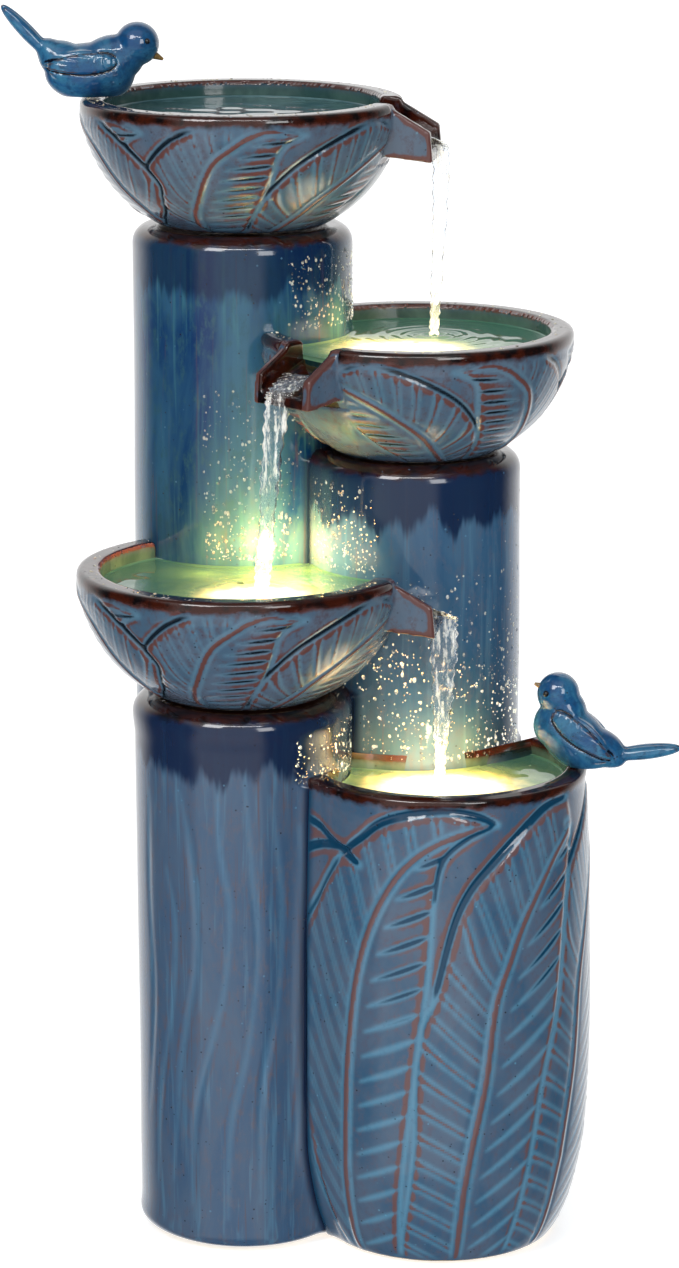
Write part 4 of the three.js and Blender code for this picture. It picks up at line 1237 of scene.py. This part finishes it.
def drop_mesh(places, outs, sizes):
    """Domes of water as points and faces, each standing on its place with its top along its out."""
    sides = 7
    turn = np.linspace(0, 2 * np.pi, sides, endpoint=False)
    rings = [(1.0, -0.15), (0.8, 0.34), (0.35, 0.52)]
    shape = [(r * math.cos(a), r * math.sin(a), h) for r, h in rings for a in turn]
    shape = np.array([*shape, (0, 0, 0.55)])
    top = 3 * sides
    one = [tuple(range(sides))[::-1]]
    for i in range(sides):
        beside = (i + 1) % sides
        one += [(k + i, k + beside, k + sides + beside, k + sides + i) for k in (0, sides)]
        one.append((2 * sides + i, 2 * sides + beside, top))
    across = np.cross(outs, [0, 0, 1.0]) + [1e-6, 0, 0]
    across /= np.linalg.norm(across, axis=1)[:, None]
    down = np.cross(outs, across)
    width, length = sizes[:, :1], sizes[:, 1:]
    points = places[:, None]
    for k, axis in enumerate((across * width, down * length, outs * width)):
        points = points + shape[None, :, k : k + 1] * axis[:, None]
    faces = [tuple(v + k * len(shape) for v in face) for k in range(len(places)) for face in one]
    return points.reshape(-1, 3), faces


def build_drops():
    """Splashed drops on the walls round the pools and dew on the bowls' rims."""
    draw = np.random.default_rng(7)
    places, outs = [], []
    for column, start, end, low, reach, count in DROP_FIELDS:
        angle = np.radians(draw.uniform(start, end, count))
        z = low + reach * draw.random(count) ** 1.7
        r = column.radius_at(z) - 0.45
        limit = wall_limit(column.centre, angle, z, taller_than(column.top), -0.5)
        clear = (r < limit) & (z < column.top - COLUMN_SHOULDER - 1)
        places.append(around(column.centre, angle, r, z)[clear])
        outs.append(around((0, 0), angle, 1, 0)[clear])
    for bowl in BOWLS:
        angle = draw.uniform(-math.pi, math.pi, RIM_DROPS)
        r = (BOWL_RADIUS - draw.uniform(3, BOWL_RIM - 2, RIM_DROPS)) * bowl.scale
        rim = BOWL_HEIGHT - 0.05
        from_spout = np.abs((angle - bowl.spout - math.pi / 2 + math.pi) % (2 * math.pi) - math.pi)
        limit = wall_limit(bowl.on.centre, angle, rim + bowl.foot, taller_than(bowl.on.top), -1)
        clear = (from_spout > 0.3) & (r < limit)
        places.append(around(bowl.on.centre, angle, r, rim * bowl.scale + bowl.foot)[clear])
        outs.append(np.tile([0, 0, 1.0], (int(clear.sum()), 1)))
    places, outs = np.vstack(places), np.vstack(outs)
    size = 0.2 + 0.55 * draw.random(len(places)) ** 3.5
    sizes = np.column_stack([size, size * draw.uniform(1, 1.6, len(places))])
    p = Paint("water_drops", Roughness=0.02, IOR=WATER_IOR)
    tint_and_painted_sparkle = p.between(p.noise(2.0, 2), 0.4, 0.6)
    p.set(Base_Color=p.mix(tint_and_painted_sparkle, (0.86, 0.94, 1, 1), WHITE), Transmission_Weight=0.97)
    # Painted light: the drops glow warm white with emission where the noise is high, a painted sparkle.
    p.set(Emission_Color=srgb(255, 248, 214), Emission_Strength=p.times(tint_and_painted_sparkle, 0.32))
    made = mesh_of("water_drops", *drop_mesh(places, outs, sizes), p.material)
    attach(made, "fountain")


# ---- Birds ----
# A bird stands at its own origin with its beak along +X. A lump is a stretched ball: its place, its half
# lengths and how far its front is raised, in degrees. A beak is its place, its height and how far it drops.

UPPER_BIRD = {
    "lumps": [
        (-1, 0, 10.4, 17, 10.4, 10.6, 2), (7, 0, 10.6, 9.4, 9.2, 9.8, -10), (11.4, 0, 15.6, 8.6, 7.8, 8, 20),
        (17.2, 0, 20.6, 8.4, 8.2, 7.9, 0), (-13, 0, 15, 9.4, 6.4, 5.8, -42),
        (-24, 0, 24.4, 14.6, 4, 2.8, -45), (5, 0, 15.4, 12, 8.4, 7.6, 24), (-9, 0, 13.4, 12, 8, 7.6, -24),
    ],
    "wing": (-3, 7.2, 13, 13.5, 3.4, 6, 4),
    "beak": (24.6, 16.2, 26), "yaw": 0, "head": (17.2, 20.6),
}
LOWER_BIRD = {
    "lumps": [
        (1, 0, 12, 16, 10.4, 10.4, 40), (7, 0, 17, 8.6, 8.8, 9.6, 50), (6.9, 0, 27.6, 8, 7.9, 7.8, 0),
        (-10, 0, 7, 9.4, 6.6, 5.4, 20), (-25.5, 0, 7.4, 14.4, 4.4, 2.8, -8),
        (4.5, 0, 20, 8.4, 8.2, 9.6, 10), (-7, 0, 9.4, 12, 7.6, 6.6, 18),
    ],
    "wing": (-2, 7.2, 13.6, 13.6, 3.4, 6, 38),
    "beak": (13.4, 30, -20), "yaw": 172, "head": (6.9, 27.6),
}


SEAT_DEPTH = 1.9  # how far a bird's belly is pressed flat on its rim
STRETCH = 1.05  # how much taller a bird is made before that
EYE_RADIUS = 1.15


def lump_matrix(place):
    along, across, up, length, width, height, pitch = place
    turned = Matrix.Rotation(-math.radians(pitch), 4, "Y")
    return Matrix.Translation((along, across, up)) @ turned @ Matrix.Diagonal((length, width, height, 1))


def joined(matrices, voxel, rounds):
    """One skin round several stretched balls, as points and faces."""
    work = bmesh.new()
    for matrix in matrices:
        bmesh.ops.create_uvsphere(work, u_segments=40, v_segments=24, radius=1, matrix=matrix)
    return skin_of(work, voxel, rounds)


def plumage(points, wing):
    """How far the clay is cut in or raised for the wings' outlines and the long feathers."""
    along, _, up, length, _, height, pitch = wing
    c, s = math.cos(math.radians(pitch)), math.sin(math.radians(pitch))
    x, y, z = points.T
    u = (x - along) * c + (z - up) * s
    v = -(x - along) * s + (z - up) * c
    share = np.clip((u + length * 1.25) / (2.2 * length), 0, 1)  # from the wing's tip, at its back, forwards
    half = height * 1.5 * share**0.75 * (1 - share) ** 0.4
    on_side = step(3.0, 5.0, np.abs(y)) * (share > 0) * (share < 1)
    within = np.abs(v) < half
    cut = -0.75 * lump(np.abs(v) - half, 0.9) * on_side * step(0, 0.1, share)
    cut += 0.35 * within * on_side * step(0, 1.2, half - np.abs(v))
    feathers = np.abs((v + 0.22 * u) % 2.1 - 1.05)
    cut -= 0.38 * lump(feathers, 0.5) * within * on_side * step(0.75, 0.5, share)
    scallops = np.abs((u - 0.12 * v * v) % 3.2 - 1.6)
    cut -= 0.3 * lump(scallops, 0.55) * within * on_side * step(0.5, 0.7, share)
    tail = step(-15, -19, x)
    cut -= 0.4 * lump(np.abs(np.abs(y) - 1.35), 0.5) * tail
    scratch = np.abs((y + 0.35 * np.sin(x * 0.9)) % 1.3 - 0.65)
    cut -= 0.12 * lump(scratch, 0.3) * step(3.6, 2.6, np.abs(y)) * step(-14, -10, x) * (z > up)
    return cut


def build_bird(node, bird, glazed, eye_paint, beak_paint):
    """A bird's body with its feathers cut in, its two eyes and its beak."""
    wing = bird["wing"]
    mirror = (wing[0], -wing[1], *wing[2:])
    points, faces = joined([lump_matrix(p) for p in [*bird["lumps"], wing, mirror]], 0.5, 20)
    points[:, 2] = points[:, 2] * STRETCH - SEAT_DEPTH
    spin = np.array(Matrix.Rotation(math.radians(bird["yaw"]), 2))
    low, high = (np.array(end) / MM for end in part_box(node))
    beak_at, beak_up, beak_drop = bird["beak"]
    tip = np.array([beak_at + 3 * math.cos(math.radians(beak_drop)), 0.0])
    ends = np.vstack([points[:, :2], tip]) @ spin.T
    offset = np.array([*((low + high)[:2] - ends.min(0) - ends.max(0)) / 2, low[2]])

    def placed(local):
        return np.column_stack([local[:, :2] @ spin.T, local[:, 2]]) + offset

    made = mesh_of("shell_" + node, placed(points), faces, glazed)
    normals = numbers(made.data.vertices, "normal", 3)
    shaped = kept_in(node, placed(points) + normals * plumage(points, wing)[:, None])
    made.data.vertices.foreach_set("co", (shaped * MM).astype(np.float32).ravel())
    made.data.update()
    edges = numbers(made.data.edges, "vertices", 2, np.int32)
    proud = ((shaped - smoothed(shaped, edges, 8)) * normals).sum(1)
    add_maps(
        made, ridge=np.clip(proud / 0.3 - 0.35, 0, 1), groove=np.clip(-proud / 0.25, 0, 1) * 0.5,
        dark=np.clip(-proud / 0.3 - 0.25, 0, 1), down=99, up=50, pool=0, inner=0,
    )
    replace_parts(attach(made, "fountain"), node)

    head = np.array([bird["head"][0], 0, bird["head"][1] * STRETCH - SEAT_DEPTH])
    balls = bmesh.new()
    for centre in placed(np.array([head + [4.0, side * 6.5, 1.5] for side in (-1, 1)])):
        place = Matrix.Translation(Vector(centre))
        bmesh.ops.create_uvsphere(balls, u_segments=20, v_segments=12, radius=EYE_RADIUS, matrix=place)
    eyes = mesh_of("eyes_" + node, *unpacked(balls), eye_paint)
    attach(eyes, "fountain")

    cone = bmesh.new()
    tilt = Matrix.Rotation(math.radians(90 + beak_drop), 4, "Y")
    base = Matrix.Translation((beak_at - 0.5, 0, beak_up * STRETCH - SEAT_DEPTH))
    bmesh.ops.create_cone(
        cone, cap_ends=True, segments=24, radius1=2.4, radius2=0.5, depth=6.4, matrix=base @ tilt
    )
    corners, sides = unpacked(cone)
    beak = mesh_of("beak_" + node, kept_in(node, placed(corners)), sides, beak_paint)
    beak.data.shade_flat()
    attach(beak, "fountain")


# ---- Hidden and small pieces ----

FINISHES = {
    # Slot: light and dark tone, grain in millimetres, roughness, and shader values of its own.
    "pump_plastic": ((0.035, 0.036, 0.04), (0.018, 0.018, 0.02), 0.6, 0.38, {}),
    "rotor_magnet": ((0.12, 0.115, 0.11), (0.06, 0.058, 0.056), 0.4, 0.42, {}),
    "white_ceramic": ((0.86, 0.85, 0.82), (0.74, 0.73, 0.7), 0.8, 0.16, {}),
    "rubber": ((0.05, 0.05, 0.05), (0.025, 0.025, 0.025), 0.5, 0.7, {}),
    "clear_vinyl": ((0.8, 0.86, 0.86), (0.68, 0.76, 0.76), 5, 0.08, {"Transmission_Weight": 0.7}),
    "spring_steel": ((0.66, 0.67, 0.68), (0.5, 0.51, 0.53), 0.8, 0.22, {"Metallic": 1.0}),
    "brass_thread": ((0.78, 0.57, 0.25), (0.6, 0.42, 0.17), 0.9, 0.2, {"Metallic": 1.0}),
    "lamp_shell": ((0.05, 0.05, 0.055), (0.03, 0.03, 0.035), 0.6, 0.4, {}),
    "lamp_lens": (
        (1, 0.93, 0.66), (0.95, 0.84, 0.5), 3, 0.06,
        {"Transmission_Weight": 0.5, "Emission_Color": (1, 0.85, 0.5, 1), "Emission_Strength": 1.5},
    ),
    "circuit_board": ((0.82, 0.8, 0.72), (0.66, 0.64, 0.55), 1.4, 0.5, {}),
}


def dress_frame():
    """Materials for the CAD nodes that stay: pump, lights, hose, leads, fittings and pads."""
    made = {}
    for slot, (light, dark, grain, roughness, values) in FINISHES.items():
        made[slot] = simple(slot, light, dark, grain, roughness, **values)
    for part in frame["record"]["subparts"]:
        if part["material_slot"] in made:
            materials = frame["nodes"][part["node"]].data.materials
            materials.clear()
            materials.append(made[part["material_slot"]])


# ---- The whole object ----

set_stage()
build_column(TALL, "tall", [MIDDLE.wall, SHORT.wall])
build_column(MIDDLE, "middle", [TALL.wall, SHORT.wall, BASIN_WALL])
build_column(SHORT, "short", [TALL.wall, MIDDLE.wall, BASIN_WALL], bark_relief())
build_basin()
leaves = bowl_relief()
bowl_paint = glaze("glaze_bowl", LOOKS["bowl"])
for each in BOWLS:
    build_bowl(each, leaves, bowl_paint)
build_water()
build_drops()
light_pools()
bird_paints = (
    glaze("glaze_bird", LOOKS["bird"]),
    simple("bird_eye", (0.012, 0.012, 0.014), (0.006, 0.006, 0.007), 0.5, 0.04, 0.02),
    simple("bird_beak", (0.30, 0.19, 0.06), (0.16, 0.09, 0.03), 0.7, 0.16, 0.05),
)
build_bird("bird_upper", UPPER_BIRD, *bird_paints)
build_bird("bird_lower", LOWER_BIRD, *bird_paints)
dress_frame()
